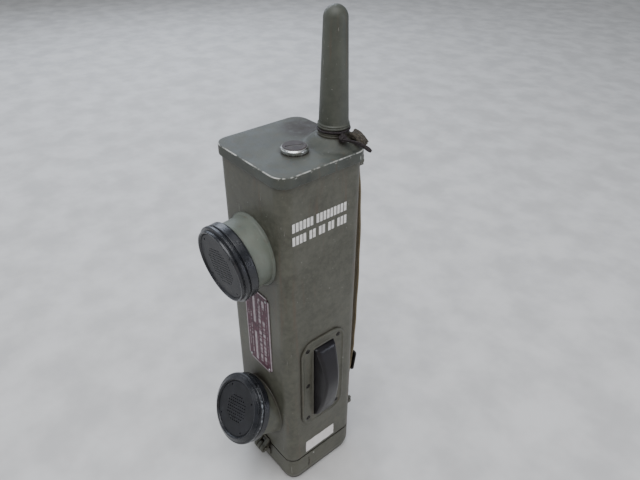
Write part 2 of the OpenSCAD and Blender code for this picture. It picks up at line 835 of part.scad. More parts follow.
// Two leaf springs on the cover's floor that push the batteries up
module battery_springs() {
    color(brass) for (at = [round_battery_at, long_battery_at]) translate([at[0], at[1], 3]) {
        block([-10, -5, 0], [10, 5, leaf_t]);
        difference() {
            bar_y(-4, 4, 0, 1.4, spring_r);
            bar_y(-5, 5, 0, 1.4, spring_r - leaf_t);
            block([-12, -6, -spring_r], [12, 6, leaf_t / 2]);
        }
    }
}

case_shell();
top_cover();
top_gasket();
screw_plug();
earpiece_housing();
earpiece_cap();
earphone_element();
mouthpiece_housing();
mouthpiece_cap();
microphone_element();
housing_gaskets();
data_plate();
plate_rivets();
paper_label();
talk_plate();
talk_plate_screws();
boot_flange();
talk_boot();
talk_plunger();
talk_switch();
switch_slider();
aerial_socket();
aerial_insulator();
aerial_outer_tube();
socket_seal();
aerial_section_1();
aerial_section_2();
aerial_section_3();
aerial_tip_rod();
aerial_cap();
cap_thong();
thong_tab();
power_switch();
power_slider();
bottom_cover();
cover_gasket();
cover_hinge_leaf();
case_hinge_leaf();
hinge_pin();
catch_bracket();
catch_lever();
catch_stud();
strap_loop_top();
strap_loop_bottom();
strap_webbing();
strap_buckle();
chassis_plate();
chassis_top_plate();
valve_sockets();
valves();
crystals();
coil_formers();
if_transformers();
audio_transformers();
small_components();
audio_leads();
long_battery();
round_battery();
battery_contact_board();
battery_springs();
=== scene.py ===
import math
import random

import bmesh
import bpy
from bpy.props import FloatProperty, FloatVectorProperty, PointerProperty, StringProperty
from mathutils import Matrix, Vector


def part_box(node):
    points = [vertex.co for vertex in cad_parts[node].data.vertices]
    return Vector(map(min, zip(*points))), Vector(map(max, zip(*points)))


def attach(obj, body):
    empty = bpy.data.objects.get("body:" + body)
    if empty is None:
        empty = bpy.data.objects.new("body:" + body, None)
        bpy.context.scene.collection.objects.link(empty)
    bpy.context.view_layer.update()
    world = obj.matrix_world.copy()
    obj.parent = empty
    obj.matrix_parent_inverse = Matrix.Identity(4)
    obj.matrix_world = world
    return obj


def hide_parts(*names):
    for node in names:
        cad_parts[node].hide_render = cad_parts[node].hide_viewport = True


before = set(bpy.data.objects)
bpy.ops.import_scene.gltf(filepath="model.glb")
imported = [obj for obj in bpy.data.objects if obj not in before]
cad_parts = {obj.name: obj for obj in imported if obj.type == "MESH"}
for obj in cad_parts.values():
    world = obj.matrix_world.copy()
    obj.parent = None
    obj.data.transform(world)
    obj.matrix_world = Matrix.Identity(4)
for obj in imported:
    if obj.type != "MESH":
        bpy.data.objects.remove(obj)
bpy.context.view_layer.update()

bl_info = {
    "name": "Field radio finish",
    "version": (1, 0, 0),
    "blender": (4, 5, 0),
    "location": "View3D > Sidebar > Radio",
    "description": "Detailed pieces and finishes of a worn hand-held two way radio",
    "category": "Object",
}

MM = 0.001
TAU = 2 * math.pi


# ---- settings ----

class RadioView(bpy.types.PropertyGroup):
    """Where the camera stands."""
    place: FloatVectorProperty(name="Place", description="Camera's place", size=3, subtype="XYZ",
                               unit="LENGTH", default=(0.2867, -0.2172, 0.4844), precision=4)
    azimuth: FloatProperty(name="Azimuth", description="Turn from straight in front", subtype="ANGLE",
                           default=math.radians(49.49))
    elevation: FloatProperty(name="Elevation", description="How far the camera looks down", subtype="ANGLE",
                             default=math.radians(34.17))
    roll: FloatProperty(name="Roll", description="Tilt of the camera", subtype="ANGLE",
                        default=math.radians(0.43))
    lens: FloatProperty(name="Lens", description="Focal length in millimetres", default=31.6)


class RadioSizes(bpy.types.PropertyGroup):
    """Sizes that the frame's boxes don't give."""
    corner: FloatProperty(name="Case corner", description="Radius of the case's upright corners",
                          default=10 * MM, unit="LENGTH")
    wall: FloatProperty(name="Case wall", description="Thickness of the case's wall", default=2 * MM,
                        unit="LENGTH")
    ear_rim: FloatVectorProperty(name="Earpiece rim", description="Middle of the earpiece's rim", size=3,
                                 subtype="XYZ", unit="LENGTH", default=(0, -65.5 * MM, 245.6 * MM))
    mouth_rim: FloatVectorProperty(name="Mouthpiece rim", description="Middle of the mouthpiece's rim",
                                   size=3, subtype="XYZ", unit="LENGTH", default=(0, -66.3 * MM, 95.1 * MM))
    ear_tilt: FloatProperty(name="Earpiece tilt", description="How far the earpiece looks down",
                            subtype="ANGLE", default=math.radians(-6))
    mouth_tilt: FloatProperty(name="Mouthpiece tilt", description="How far the mouthpiece looks up",
                              subtype="ANGLE", default=math.radians(28.7))
    ear_neck: FloatProperty(name="Earpiece neck", description="Radius of the earpiece's neck",
                            default=26.8 * MM, unit="LENGTH")
    mouth_neck: FloatProperty(name="Mouthpiece neck", description="Radius of the mouthpiece's neck",
                              default=25.8 * MM, unit="LENGTH")
    neck_fillet: FloatProperty(name="Neck fillet", description="Radius where a neck flares into the case",
                               default=2.2 * MM, unit="LENGTH")
    thread: FloatProperty(name="Webbing thread", description="Pitch of the strap's ribs", default=1.6 * MM,
                          unit="LENGTH")


class RadioColours(bpy.types.PropertyGroup):
    """Finish colours as sRGB hex values."""
    olive: StringProperty(name="Olive enamel", description="Paint of the case", default="535348")
    olive_dark: StringProperty(name="Olive shade", description="Darker patches of the paint",
                               default="444439")
    dust: StringProperty(name="Dust", description="Dry bloom on the paint", default="6F6E62")
    stain: StringProperty(name="Stain", description="Brown runs on the paint", default="5E4B3C")
    # The grime colour also serves as painted shade, laid into corners and recesses by ambient occlusion.
    grime_and_shade: StringProperty(name="Grime", description="Dirt in the corners of the paint", default="2F2820")
    primer: StringProperty(name="Bare alloy", description="Metal that shows where paint is chipped",
                           default="C9C9C2")
    bakelite: StringProperty(name="Phenolic moulding", description="Screwed caps", default="1F2024")
    bakelite_worn: StringProperty(name="Worn moulding", description="Rubbed edges of the caps",
                                  default="8A8F92")
    rubber: StringProperty(name="Rubber", description="Talk button", default="161417")
    enamel: StringProperty(name="Plate enamel", description="Filled ground of the data plate",
                           default="5E3443")
    paper: StringProperty(name="Paper", description="Label", default="F0ECE8")
    leather: StringProperty(name="Leather", description="Tie under the aerial's cap", default="352B2D")
    webbing: StringProperty(name="Webbing", description="Hand strap", default="8C7C5A")
    floor: StringProperty(name="Floor", description="Floor under the object", default="E8E6E3")


# ---- small tools ----

def linear(code, alpha=1.0):
    """Linear RGBA of an sRGB hex value."""
    parts = [int(code[i:i + 2], 16) / 255 for i in (0, 2, 4)]
    return tuple(c / 12.92 if c <= 0.04045 else ((c + 0.055) / 1.055) ** 2.4 for c in parts) + (alpha,)


def add_node(tree, kind, inputs=None, **settings):
    """Adds a node with its settings; an input is a value or the socket that feeds it."""
    node = tree.nodes.new(kind)
    for key, value in settings.items():
        setattr(node, key, value)
    for socket, value in (inputs or {}).items():
        if isinstance(value, bpy.types.NodeSocket):
            tree.links.new(value, node.inputs[socket])
        else:
            node.inputs[socket].default_value = value
    return node


def extent(node):
    """Lowest and highest corner of a CAD node, in millimetres."""
    low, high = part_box(node)
    return low / MM, high / MM


def settle(obj):
    """Applies the object's modifiers to its mesh."""
    bpy.context.view_layer.update()
    graph = bpy.context.evaluated_depsgraph_get()
    mesh = bpy.data.meshes.new_from_object(obj.evaluated_get(graph))
    obj.modifiers.clear()
    old, obj.data = obj.data, mesh
    bpy.data.meshes.remove(old)
    mesh.name = obj.name


def make_mesh(name, points, faces):
    """An object from points in millimetres, with doubled points joined and its faces turned outwards."""
    mesh = bpy.data.meshes.new(name)
    mesh.from_pydata([Vector(p) * MM for p in points], [], faces)
    shape = bmesh.new()
    shape.from_mesh(mesh)
    bmesh.ops.remove_doubles(shape, verts=shape.verts, dist=2e-7)
    bmesh.ops.dissolve_degenerate(shape, edges=shape.edges, dist=1e-7)
    bmesh.ops.recalc_face_normals(shape, faces=shape.faces)
    shape.to_mesh(mesh)
    shape.free()
    obj = bpy.data.objects.new(name, mesh)
    bpy.context.scene.collection.objects.link(obj)
    return obj


def skin(rings, closed=False):
    """Points and faces of a skin through rings of equal counts; open ends are capped."""
    count = len(rings[0])
    points = [p for ring in rings for p in ring]
    pairs = [(i, i + 1) for i in range(len(rings) - 1)]
    if closed:
        pairs.append((len(rings) - 1, 0))
    faces = [(a * count + i, a * count + (i + 1) % count, b * count + (i + 1) % count, b * count + i)
             for a, b in pairs for i in range(count)]
    if not closed:
        last = (len(rings) - 1) * count
        faces += [tuple(range(count)), tuple(range(last, last + count))]
    return points, faces


def joined(parts):
    """Points and faces of several shapes as one."""
    points, faces = [], []
    for some_points, some_faces in parts:
        start = len(points)
        points += list(some_points)
        faces += [tuple(i + start for i in face) for face in some_faces]
    return points, faces


def filleted(corners, radius, steps=4, closed=False):
    """A 2D line with its corners rounded; a corner may carry its own radius as a third number."""
    count = len(corners)
    out = []
    for i, corner in enumerate(corners):
        here = Vector(corner[:2])
        if not closed and i in (0, count - 1):
            out.append(tuple(here))
            continue
        before, after = Vector(corners[i - 1][:2]), Vector(corners[(i + 1) % count][:2])
        r = corner[2] if len(corner) > 2 else radius
        a, b = before - here, after - here
        turn = a.angle(b) if a.length and b.length else math.pi
        if r <= 0 or turn > math.radians(175):
            out.append(tuple(here))
            continue
        reach = min(r / math.tan(turn / 2), a.length * 0.48, b.length * 0.48)
        start, end = here + a.normalized() * reach, here + b.normalized() * reach
        for k in range(steps + 1):
            t = k / steps
            out.append(tuple(start * (1 - t) ** 2 + here * 2 * t * (1 - t) + end * t * t))
    return out


def turned(profile, origin, axis, steps=96, closed=False):
    """Points and faces of a profile of (radius, height) turned about an axis."""
    axis = Vector(axis).normalized()
    side = axis.orthogonal().normalized()
    other = axis.cross(side)
    angles = [TAU * k / steps for k in range(steps)]
    rings = [[Vector(origin) + axis * h + (side * math.cos(a) + other * math.sin(a)) * r for a in angles]
             for r, h in profile]
    return skin(rings, closed)


def box_ring(width, depth, radius, steps=8):
    """Outline of a rounded rectangle about the origin."""
    radius = max(radius, 0.01)
    out = []
    for k, (sx, sy) in enumerate(((1, 1), (-1, 1), (-1, -1), (1, -1))):
        for i in range(steps + 1):
            a = math.radians(90 * (k + i / steps))
            out.append((sx * (width / 2 - radius) + radius * math.cos(a),
                        sy * (depth / 2 - radius) + radius * math.sin(a)))
    return out


def level(outline, z):
    """An outline laid flat at a height."""
    return [Vector((x, y, z)) for x, y in outline]


def slab(outline, low, high, place):
    """Points and faces of an outline drawn out from low to high; place turns (u, v, w) into a point."""
    return skin([[place(u, v, w) for u, v in outline] for w in (low, high)])


def subtract(obj, cutter):
    """Cuts one object out of another."""
    cut = obj.modifiers.new("cut", "BOOLEAN")
    cut.operation = "DIFFERENCE"
    cut.solver = "EXACT"
    cut.object = cutter
    settle(obj)
    bpy.data.objects.remove(cutter)


def round_edges(obj, width, segments=3, angle=30):
    """Rounds every edge that turns by more than the angle."""
    bevel = obj.modifiers.new("round", "BEVEL")
    bevel.width = width * MM
    bevel.segments = segments
    bevel.limit_method = "ANGLE"
    bevel.angle_limit = math.radians(angle)
    settle(obj)


def fit(obj, finish, body, slot, *nodes, crease=42):
    """Shades a piece, gives it its finish and body, and hides the CAD nodes it stands for."""
    obj.data.shade_smooth()
    obj.data.set_sharp_from_angle(angle=math.radians(crease))
    weighted = obj.modifiers.new("even shading", "WEIGHTED_NORMAL")
    weighted.keep_sharp = True
    settle(obj)
    obj.data.materials.clear()
    obj.data.materials.append(finish)
    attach(obj, body)
    if nodes:
        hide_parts(*nodes)
    return obj


def smooth_path(points, steps):
    """A smooth line through points."""
    points = [Vector(p) for p in points]
    last = len(points) - 1
    out = []
    for i in range(last):
        a, b, c, d = (points[max(0, min(last, i + k))] for k in (-1, 0, 1, 2))
        for s in range(steps):
            t = s / steps
            out.append(0.5 * (2 * b + (c - a) * t + (2 * a - 5 * b + 4 * c - d) * t * t
                              + (3 * b - a - 3 * c + d) * t ** 3))
    return out + [points[-1]]


def lace(path, widths, thicknesses, twist=0.0, steps=14, closed=False):
    """Points and faces of a flattened lace along a path, with a width and a thickness at each point."""
    count = len(path)
    rings = []
    for i, here in enumerate(path):
        after = path[(i + 1) % count] if closed else path[min(i + 1, count - 1)]
        before = path[i - 1] if closed else path[max(i - 1, 0)]
        run = (after - before).normalized()
        across = run.cross(Vector((0, 0, 1))).normalized()
        up = across.cross(run)
        turn = twist * i / max(count - 1, 1)
        u = across * math.cos(turn) + up * math.sin(turn)
        v = up * math.cos(turn) - across * math.sin(turn)
        rings.append([here + u * widths[i] / 2 * math.cos(TAU * k / steps)
                      + v * thicknesses[i] / 2 * math.sin(TAU * k / steps) for k in range(steps)])
    return skin(rings, closed)


# ---- surface patterns ----

def tilt_axis(angle):
    """Outward direction of a cup that looks up by an angle."""
    return Vector((0, -math.cos(angle), math.sin(angle)))


def new_finish(name, roughness, metallic=0.0, ior=1.5):
    """A material with its shader, and this piece's own coordinates in millimetres."""
    finish = bpy.data.materials.new(name)
    finish.use_nodes = True
    tree = finish.node_tree
    shader = tree.nodes["Principled BSDF"]
    shader.inputs["Roughness"].default_value = roughness
    shader.inputs["Metallic"].default_value = metallic
    if metallic < 0.5:
        shader.inputs["IOR"].default_value = ior
    own = add_node(tree, "ShaderNodeTexCoord").outputs["Object"]
    place = add_node(tree, "ShaderNodeVectorMath", {0: own, "Scale": 1 / MM}, operation="SCALE").outputs[0]
    return finish, tree, shader, place


def stretched(tree, place, x, y, z):
    """Coordinates squeezed along each axis by a size in millimetres."""
    return add_node(tree, "ShaderNodeVectorMath", {0: place, 1: (1 / x, 1 / y, 1 / z)},
                    operation="MULTIPLY").outputs[0]


def patches(tree, place, size, low, high, detail=3.0, rough=0.55):
    """A factor that rises from 0 to 1 in cloudy patches of a size in millimetres."""
    cloud = add_node(tree, "ShaderNodeTexNoise",
                     {"Vector": place, "Scale": 1 / size, "Detail": detail, "Roughness": rough})
    return add_node(tree, "ShaderNodeMapRange", {0: cloud.outputs[0], 1: low, 2: high},
                    interpolation_type="SMOOTHSTEP").outputs[0]


def mixed(tree, factor, first, second):
    """A colour between two, by a factor."""
    return add_node(tree, "ShaderNodeMix", {0: factor, 6: first, 7: second}, data_type="RGBA").outputs[2]


def maths(tree, operation, first, second):
    """The result of one sum."""
    return add_node(tree, "ShaderNodeMath", {0: first, 1: second}, operation=operation,
                    use_clamp=True).outputs[0]


def between(tree, value, start, end, blur=0.05):
    """1 where a value lies between two limits, fading over the blur."""
    rise = add_node(tree, "ShaderNodeMapRange", {0: value, 1: start - blur, 2: start + blur},
                    interpolation_type="SMOOTHSTEP").outputs[0]
    fall = add_node(tree, "ShaderNodeMapRange", {0: value, 1: end + blur, 2: end - blur},
                    interpolation_type="SMOOTHSTEP").outputs[0]
    return maths(tree, "MULTIPLY", rise, fall)


def depth_along(tree, place, origin, axis):
    """How far a spot lies along an axis through a point, in millimetres."""
    away = add_node(tree, "ShaderNodeVectorMath", {0: place, 1: tuple(origin)},
                    operation="SUBTRACT").outputs[0]
    return add_node(tree, "ShaderNodeVectorMath", {0: away, 1: tuple(axis)},
                    operation="DOT_PRODUCT").outputs["Value"]


def worn_edges(tree, place, radius, size, low=0.03, high=0.22, gap=(0.42, 0.58)):
    """A factor for rubbed edges, broken up by patches, and the softened normal it comes from."""
    soft = add_node(tree, "ShaderNodeBevel", {"Radius": radius * MM}, samples=5).outputs[0]
    true = add_node(tree, "ShaderNodeNewGeometry").outputs["Normal"]
    across = add_node(tree, "ShaderNodeVectorMath", {0: soft, 1: true},
                      operation="DOT_PRODUCT").outputs["Value"]
    turn = maths(tree, "SUBTRACT", 1.0, across)
    edge = add_node(tree, "ShaderNodeMapRange", {0: turn, 1: low, 2: high},
                    interpolation_type="SMOOTHSTEP").outputs[0]
    broken = patches(tree, place, size, gap[0], gap[1], 4.0, 0.65)
    return maths(tree, "MULTIPLY", edge, broken), soft


def skin_bump(tree, shader, height, depth, normal=None):
    """Lets a height factor stand out by a depth in millimetres."""
    inputs = {"Height": height, "Distance": depth * MM, "Strength": 1.0}
    if normal:
        inputs["Normal"] = normal
    bump = add_node(tree, "ShaderNodeBump", inputs)
    tree.links.new(bump.outputs[0], shader.inputs["Normal"])


def cavities(tree, reach):
    """A factor that is 1 deep in a corner and 0 on open faces."""
    open_air = add_node(tree, "ShaderNodeAmbientOcclusion", {"Distance": reach * MM}, samples=6).outputs["AO"]
    return add_node(tree, "ShaderNodeMapRange", {0: open_air, 1: 0.92, 2: 0.45}).outputs[0]


# ---- finishes ----

def olive_enamel(name, colours, edge=0.9, chips=0.0, dusty=0.45, mottle=4.5, tint=None, rim=None,
                 stained=False, blotch=None, reach=6, sheen=(0.42, 0.56), ior=1.5):
    """Brushed-on lustreless enamel over die-cast alloy: a low, dry sheen with a fine brushed tooth, cloudy
    handling marks, brown dirt and painted shade in the corners, and bright metal where edges have been knocked."""
    finish, tree, shader, place = new_finish(name, 0.5, ior=ior)
    light, dark = tint or (colours.olive, colours.olive_dark)
    split = add_node(tree, "ShaderNodeSeparateXYZ", {0: place})
    cloudy = patches(tree, place, 26, 0.36, 0.66, 5)
    mottled = patches(tree, place, mottle, 0.35, 0.68, 6, 0.7)
    tooth = patches(tree, place, 0.75, 0.3, 0.7, 4, 0.7)
    colour = mixed(tree, cloudy, linear(dark), linear(light))
    bloom = maths(tree, "MULTIPLY", mottled, dusty)
    colour = mixed(tree, bloom, colour, linear(colours.dust))
    grain = maths(tree, "MULTIPLY", tooth, 0.16)
    colour = mixed(tree, grain, colour, linear(dark))
    streak = patches(tree, stretched(tree, place, 5, 5, 46), 1.0, 0.56, 0.74, 5, 0.6)
    streaks = maths(tree, "MULTIPLY", streak, 0.42)
    if stained:
        corner = maths(tree, "MULTIPLY", between(tree, split.outputs[0], 36, 60, 2.5),
                       between(tree, split.outputs[1], 31, 60, 3))
        blots = patches(tree, stretched(tree, place, 4, 4, 11), 1.0, 0.4, 0.6, 5, 0.65)
        streaks = maths(tree, "MAXIMUM", streaks,
                        maths(tree, "MULTIPLY", maths(tree, "MULTIPLY", corner, blots), 0.95))
    colour = mixed(tree, streaks, colour, linear(colours.stain))
    if blotch:
        *spot, size = blotch
        away = add_node(tree, "ShaderNodeVectorMath", {0: place, 1: spot},
                        operation="DISTANCE").outputs["Value"]
        near = add_node(tree, "ShaderNodeMapRange", {0: away, 1: size, 2: size * 0.35},
                        interpolation_type="SMOOTHSTEP").outputs[0]
        near = maths(tree, "MULTIPLY", near, patches(tree, place, 8, 0.22, 0.5, 4))
        colour = mixed(tree, maths(tree, "MULTIPLY", near, 0.95), colour, linear(colours.grime_and_shade))
    # Painted shade: ambient occlusion lays the dark grime colour into corners, creases and under the lid's overhang,
    # for the shade there as well as for dirt.
    deep = cavities(tree, reach)
    colour = mixed(tree, maths(tree, "MULTIPLY", deep, 0.92), colour, linear(colours.grime_and_shade))
    scratch = patches(tree, stretched(tree, place, 0.55, 13, 17), 1.0, 0.735, 0.76, 3, 0.5)
    nick = patches(tree, place, 1.5, 0.735 - chips * 0.06, 0.765 - chips * 0.06, 3, 0.6)
    worn, soft = worn_edges(tree, place, 0.55, 3.2, gap=(0.56 - edge * 0.16, 0.68 - edge * 0.16))
    exposed = maths(tree, "SUBTRACT", 1.0, maths(tree, "MULTIPLY", deep, 1.6))
    worn = maths(tree, "MULTIPLY", maths(tree, "MULTIPLY", worn, exposed), 1.0 if edge else 0.0)
    if rim:
        strip = between(tree, split.outputs[2], rim - 0.6, rim - 0.05, 0.04)
        spill = between(tree, split.outputs[2], rim - 2.0, rim - 0.6, 0.5)
        strip = maths(tree, "MULTIPLY", strip, patches(tree, place, 7, 0.36, 0.56, 5, 0.75))
        spill = maths(tree, "MULTIPLY", spill, patches(tree, place, 2.6, 0.62, 0.68, 4, 0.7))
        worn = maths(tree, "MAXIMUM", worn, maths(tree, "MAXIMUM", strip, spill))
    marks = maths(tree, "MULTIPLY", maths(tree, "ADD", scratch, nick), 0.75)
    bare = maths(tree, "MAXIMUM", worn, marks)
    colour = mixed(tree, bare, colour, linear(colours.primer))
    tree.links.new(colour, shader.inputs["Base Color"])
    dryness = add_node(tree, "ShaderNodeMapRange",
                       {0: mottled, 1: 0, 2: 1, 3: sheen[0], 4: sheen[1]}).outputs[0]
    tree.links.new(dryness, shader.inputs["Roughness"])
    tree.links.new(maths(tree, "MULTIPLY", bare, 0.5), shader.inputs["Metallic"])
    lifted = maths(tree, "SUBTRACT", maths(tree, "MULTIPLY", tooth, 0.5), maths(tree, "MULTIPLY", bare, 0.4))
    skin_bump(tree, shader, maths(tree, "ADD", lifted, 0.4), 0.09, soft)
    return finish


def moulded_phenolic(name, colours, worn=0.5, base=None, rims=None, gloss=(0.26, 0.44), ior=1.6):
    """Compression-moulded phenolic: near black, a hard wax-like gloss gone patchy, edges rubbed to dull grey.
    Rims gives a cap's rim point and axis, and its bead is then rubbed on the right, where it gets knocked."""
    finish, tree, shader, place = new_finish(name, 0.34, ior=ior)
    cloudy = patches(tree, place, 9, 0.35, 0.7, 5)
    fine = patches(tree, place, 0.9, 0.35, 0.7, 4, 0.7)
    colour = mixed(tree, maths(tree, "MULTIPLY", cloudy, 0.45), linear(base or colours.bakelite),
                   linear("34353A"))
    dust = patches(tree, place, 1.1, 0.66, 0.72, 3)
    colour = mixed(tree, maths(tree, "MULTIPLY", dust, 0.4), colour, linear("77756F"))
    edge, soft = worn_edges(tree, place, 0.5, 2.2, gap=(0.62 - worn * 0.25, 0.74 - worn * 0.25))
    if rims:
        depth = depth_along(tree, place, *rims)
        bead = between(tree, depth, -5.3, -3.6, 0.2)
        across = add_node(tree, "ShaderNodeSeparateXYZ", {0: place}).outputs[0]
        side = between(tree, across, 10, 60, 9)
        edge = maths(tree, "MULTIPLY", edge, side)
        knocked = maths(tree, "MULTIPLY", bead, side)
        broken = patches(tree, place, 3.4, 0.6 - worn * 0.14, 0.7 - worn * 0.14, 5, 0.75)
        edge = maths(tree, "MAXIMUM", edge, maths(tree, "MULTIPLY", knocked, broken))
    colour = mixed(tree, maths(tree, "MULTIPLY", edge, 0.85), colour, linear(colours.bakelite_worn))
    tree.links.new(colour, shader.inputs["Base Color"])
    sheen = add_node(tree, "ShaderNodeMapRange", {0: cloudy, 1: 0, 2: 1, 3: gloss[0], 4: gloss[1]}).outputs[0]
    tree.links.new(sheen, shader.inputs["Roughness"])
    skin_bump(tree, shader, fine, 0.03, soft)
    return finish


def tarnished_plug(name, top):
    """Nickelled plug head: its flat top gone brown and dull, its rim and side rubbed back to bright metal."""
    finish, tree, shader, place = new_finish(name, 0.3, metallic=1.0)
    split = add_node(tree, "ShaderNodeSeparateXYZ", {0: place})
    cloudy = patches(tree, place, 3.5, 0.35, 0.65, 5, 0.65)
    fine = patches(tree, place, 0.7, 0.3, 0.7, 4, 0.7)
    dull = maths(tree, "MAXIMUM", between(tree, split.outputs[2], top - 0.5, top + 5, 0.2),
                 patches(tree, place, 2.6, 0.56, 0.68, 5, 0.7))
    metal = mixed(tree, cloudy, linear("E4E7E6"), linear("B9B8B3"))
    stain = mixed(tree, cloudy, linear("423A38"), linear("332C2B"))
    tree.links.new(mixed(tree, dull, metal, stain), shader.inputs["Base Color"])
    tree.links.new(maths(tree, "SUBTRACT", 1.0, maths(tree, "MULTIPLY", dull, 0.95)),
                   shader.inputs["Metallic"])
    sheen = add_node(tree, "ShaderNodeMapRange", {0: dull, 1: 0, 2: 1, 3: 0.26, 4: 0.62}).outputs[0]
    tree.links.new(sheen, shader.inputs["Roughness"])
    skin_bump(tree, shader, fine, 0.03)
    return finish


def moulded_rubber(name, colours):
    """Vulcanised rubber: soft black with a faint bloom, satin where thumbs have polished it, fine cracks."""
    finish, tree, shader, place = new_finish(name, 0.42, ior=1.4)
    cloudy = patches(tree, place, 11, 0.35, 0.65, 4)
    fine = patches(tree, place, 0.6, 0.3, 0.7, 4, 0.7)
    cracks = add_node(tree, "ShaderNodeTexVoronoi", {"Vector": place, "Scale": 1 / 5.5},
                      feature="DISTANCE_TO_EDGE")
    crack = add_node(tree, "ShaderNodeMapRange", {0: cracks.outputs[0], 1: 0.0, 2: 0.02}).outputs[0]
    colour = mixed(tree, maths(tree, "MULTIPLY", cloudy, 0.55), linear(colours.rubber), linear("211E22"))
    tree.links.new(colour, shader.inputs["Base Color"])
    sheen = add_node(tree, "ShaderNodeMapRange", {0: cloudy, 1: 0, 2: 1, 3: 0.3, 4: 0.4}).outputs[0]
    tree.links.new(sheen, shader.inputs["Roughness"])
    soft = add_node(tree, "ShaderNodeBevel", {"Radius": 0.5 * MM}, samples=4).outputs[0]
    skin_bump(tree, shader,
              maths(tree, "ADD", maths(tree, "MULTIPLY", fine, 0.3), maths(tree, "MULTIPLY", crack, 0.3)),
              0.025, soft)
    return finish


def plain_metal(name, bright, dull, roughness, rust=0.0, stain="6B4A38"):
    """Worked metal gone dull in service: satin, with cloudy tarnish and brown rust in neglected spots."""
    finish, tree, shader, place = new_finish(name, roughness, metallic=1.0)
    cloudy = patches(tree, place, 3.5, 0.35, 0.65, 5, 0.65)
    lines = patches(tree, stretched(tree, place, 0.25, 0.25, 4), 1.0, 0.3, 0.7, 3)
    colour = mixed(tree, cloudy, linear(bright), linear(dull))
    if rust:
        rusty = patches(tree, place, 2.4, 0.72 - rust * 0.4, 0.86 - rust * 0.4, 6, 0.7)
        edge, soft = worn_edges(tree, place, 0.6, 2.5, gap=(0.1, 0.3))
        rusty = maths(tree, "SUBTRACT", rusty, edge)
        colour = mixed(tree, rusty, colour, linear(stain))
        tree.links.new(maths(tree, "SUBTRACT", 1.0, maths(tree, "MULTIPLY", rusty, 0.85)),
                       shader.inputs["Metallic"])
        sheen = add_node(tree, "ShaderNodeMapRange", {0: rusty, 1: 0, 2: 1, 3: roughness, 4: 0.75}).outputs[0]
        tree.links.new(sheen, shader.inputs["Roughness"])
    else:
        soft = add_node(tree, "ShaderNodeBevel", {"Radius": 0.4 * MM}, samples=4).outputs[0]
    tree.links.new(colour, shader.inputs["Base Color"])
    skin_bump(tree, shader, lines, 0.012 if not rust else 0.03, soft)
    return finish


def mottled_solid(name, first, second, size, roughness, depth=0.05, ior=1.5, bloom=None):
    """A plain solid of two near colours in cloudy patches: card, laminate, leather or wax, by its numbers."""
    finish, tree, shader, place = new_finish(name, roughness, ior=ior)
    cloudy = patches(tree, place, size, 0.34, 0.66, 5, 0.65)
    fine = patches(tree, place, 0.5, 0.3, 0.7, 4, 0.7)
    colour = mixed(tree, cloudy, linear(first), linear(second))
    if bloom:
        rubbed = patches(tree, place, size * 0.4, 0.55, 0.72, 4, 0.7)
        colour = mixed(tree, maths(tree, "MULTIPLY", rubbed, 0.6), colour, linear(bloom))
    tree.links.new(colour, shader.inputs["Base Color"])
    skin_bump(tree, shader, fine, depth)
    return finish


def woven_webbing(name, colours, pitch, first=None, second="5D5240"):
    """Heavy cotton webbing: ribs across the strap with a herringbone of two threads, matt and dusty.
    The ribs are drawn a little coarser than the real thread so that they show."""
    finish, tree, shader, place = new_finish(name, 0.85, ior=1.45)
    split = add_node(tree, "ShaderNodeSeparateXYZ", {0: place})
    across, along = split.outputs[0], split.outputs[2]
    zigzag = add_node(tree, "ShaderNodeMath", {0: across, 1: pitch * 2}, operation="PINGPONG").outputs[0]
    slope = add_node(tree, "ShaderNodeMath", {0: along, 1: zigzag}, operation="ADD").outputs[0]
    rib = add_node(tree, "ShaderNodeMath", {0: slope, 1: pitch / 2}, operation="PINGPONG").outputs[0]
    rib = add_node(tree, "ShaderNodeMapRange", {0: rib, 1: 0.0, 2: pitch / 2},
                   interpolation_type="SMOOTHSTEP").outputs[0]
    fuzz = patches(tree, place, 0.45, 0.3, 0.7, 4, 0.8)
    dirty = patches(tree, place, 14, 0.4, 0.7, 5)
    colour = mixed(tree, rib, linear(second), linear(first or colours.webbing))
    colour = mixed(tree, maths(tree, "MULTIPLY", dirty, 0.4), colour, linear("54492F"))
    colour = mixed(tree, maths(tree, "MULTIPLY", fuzz, 0.15), colour, linear("B4A98A"))
    tree.links.new(colour, shader.inputs["Base Color"])
    shader.inputs["Sheen Weight"].default_value = 0.25
    shader.inputs["Sheen Roughness"].default_value = 0.5
    height = maths(tree, "ADD", maths(tree, "MULTIPLY", rib, 0.7), maths(tree, "MULTIPLY", fuzz, 0.3))
    skin_bump(tree, shader, height, 0.3)
    return finish


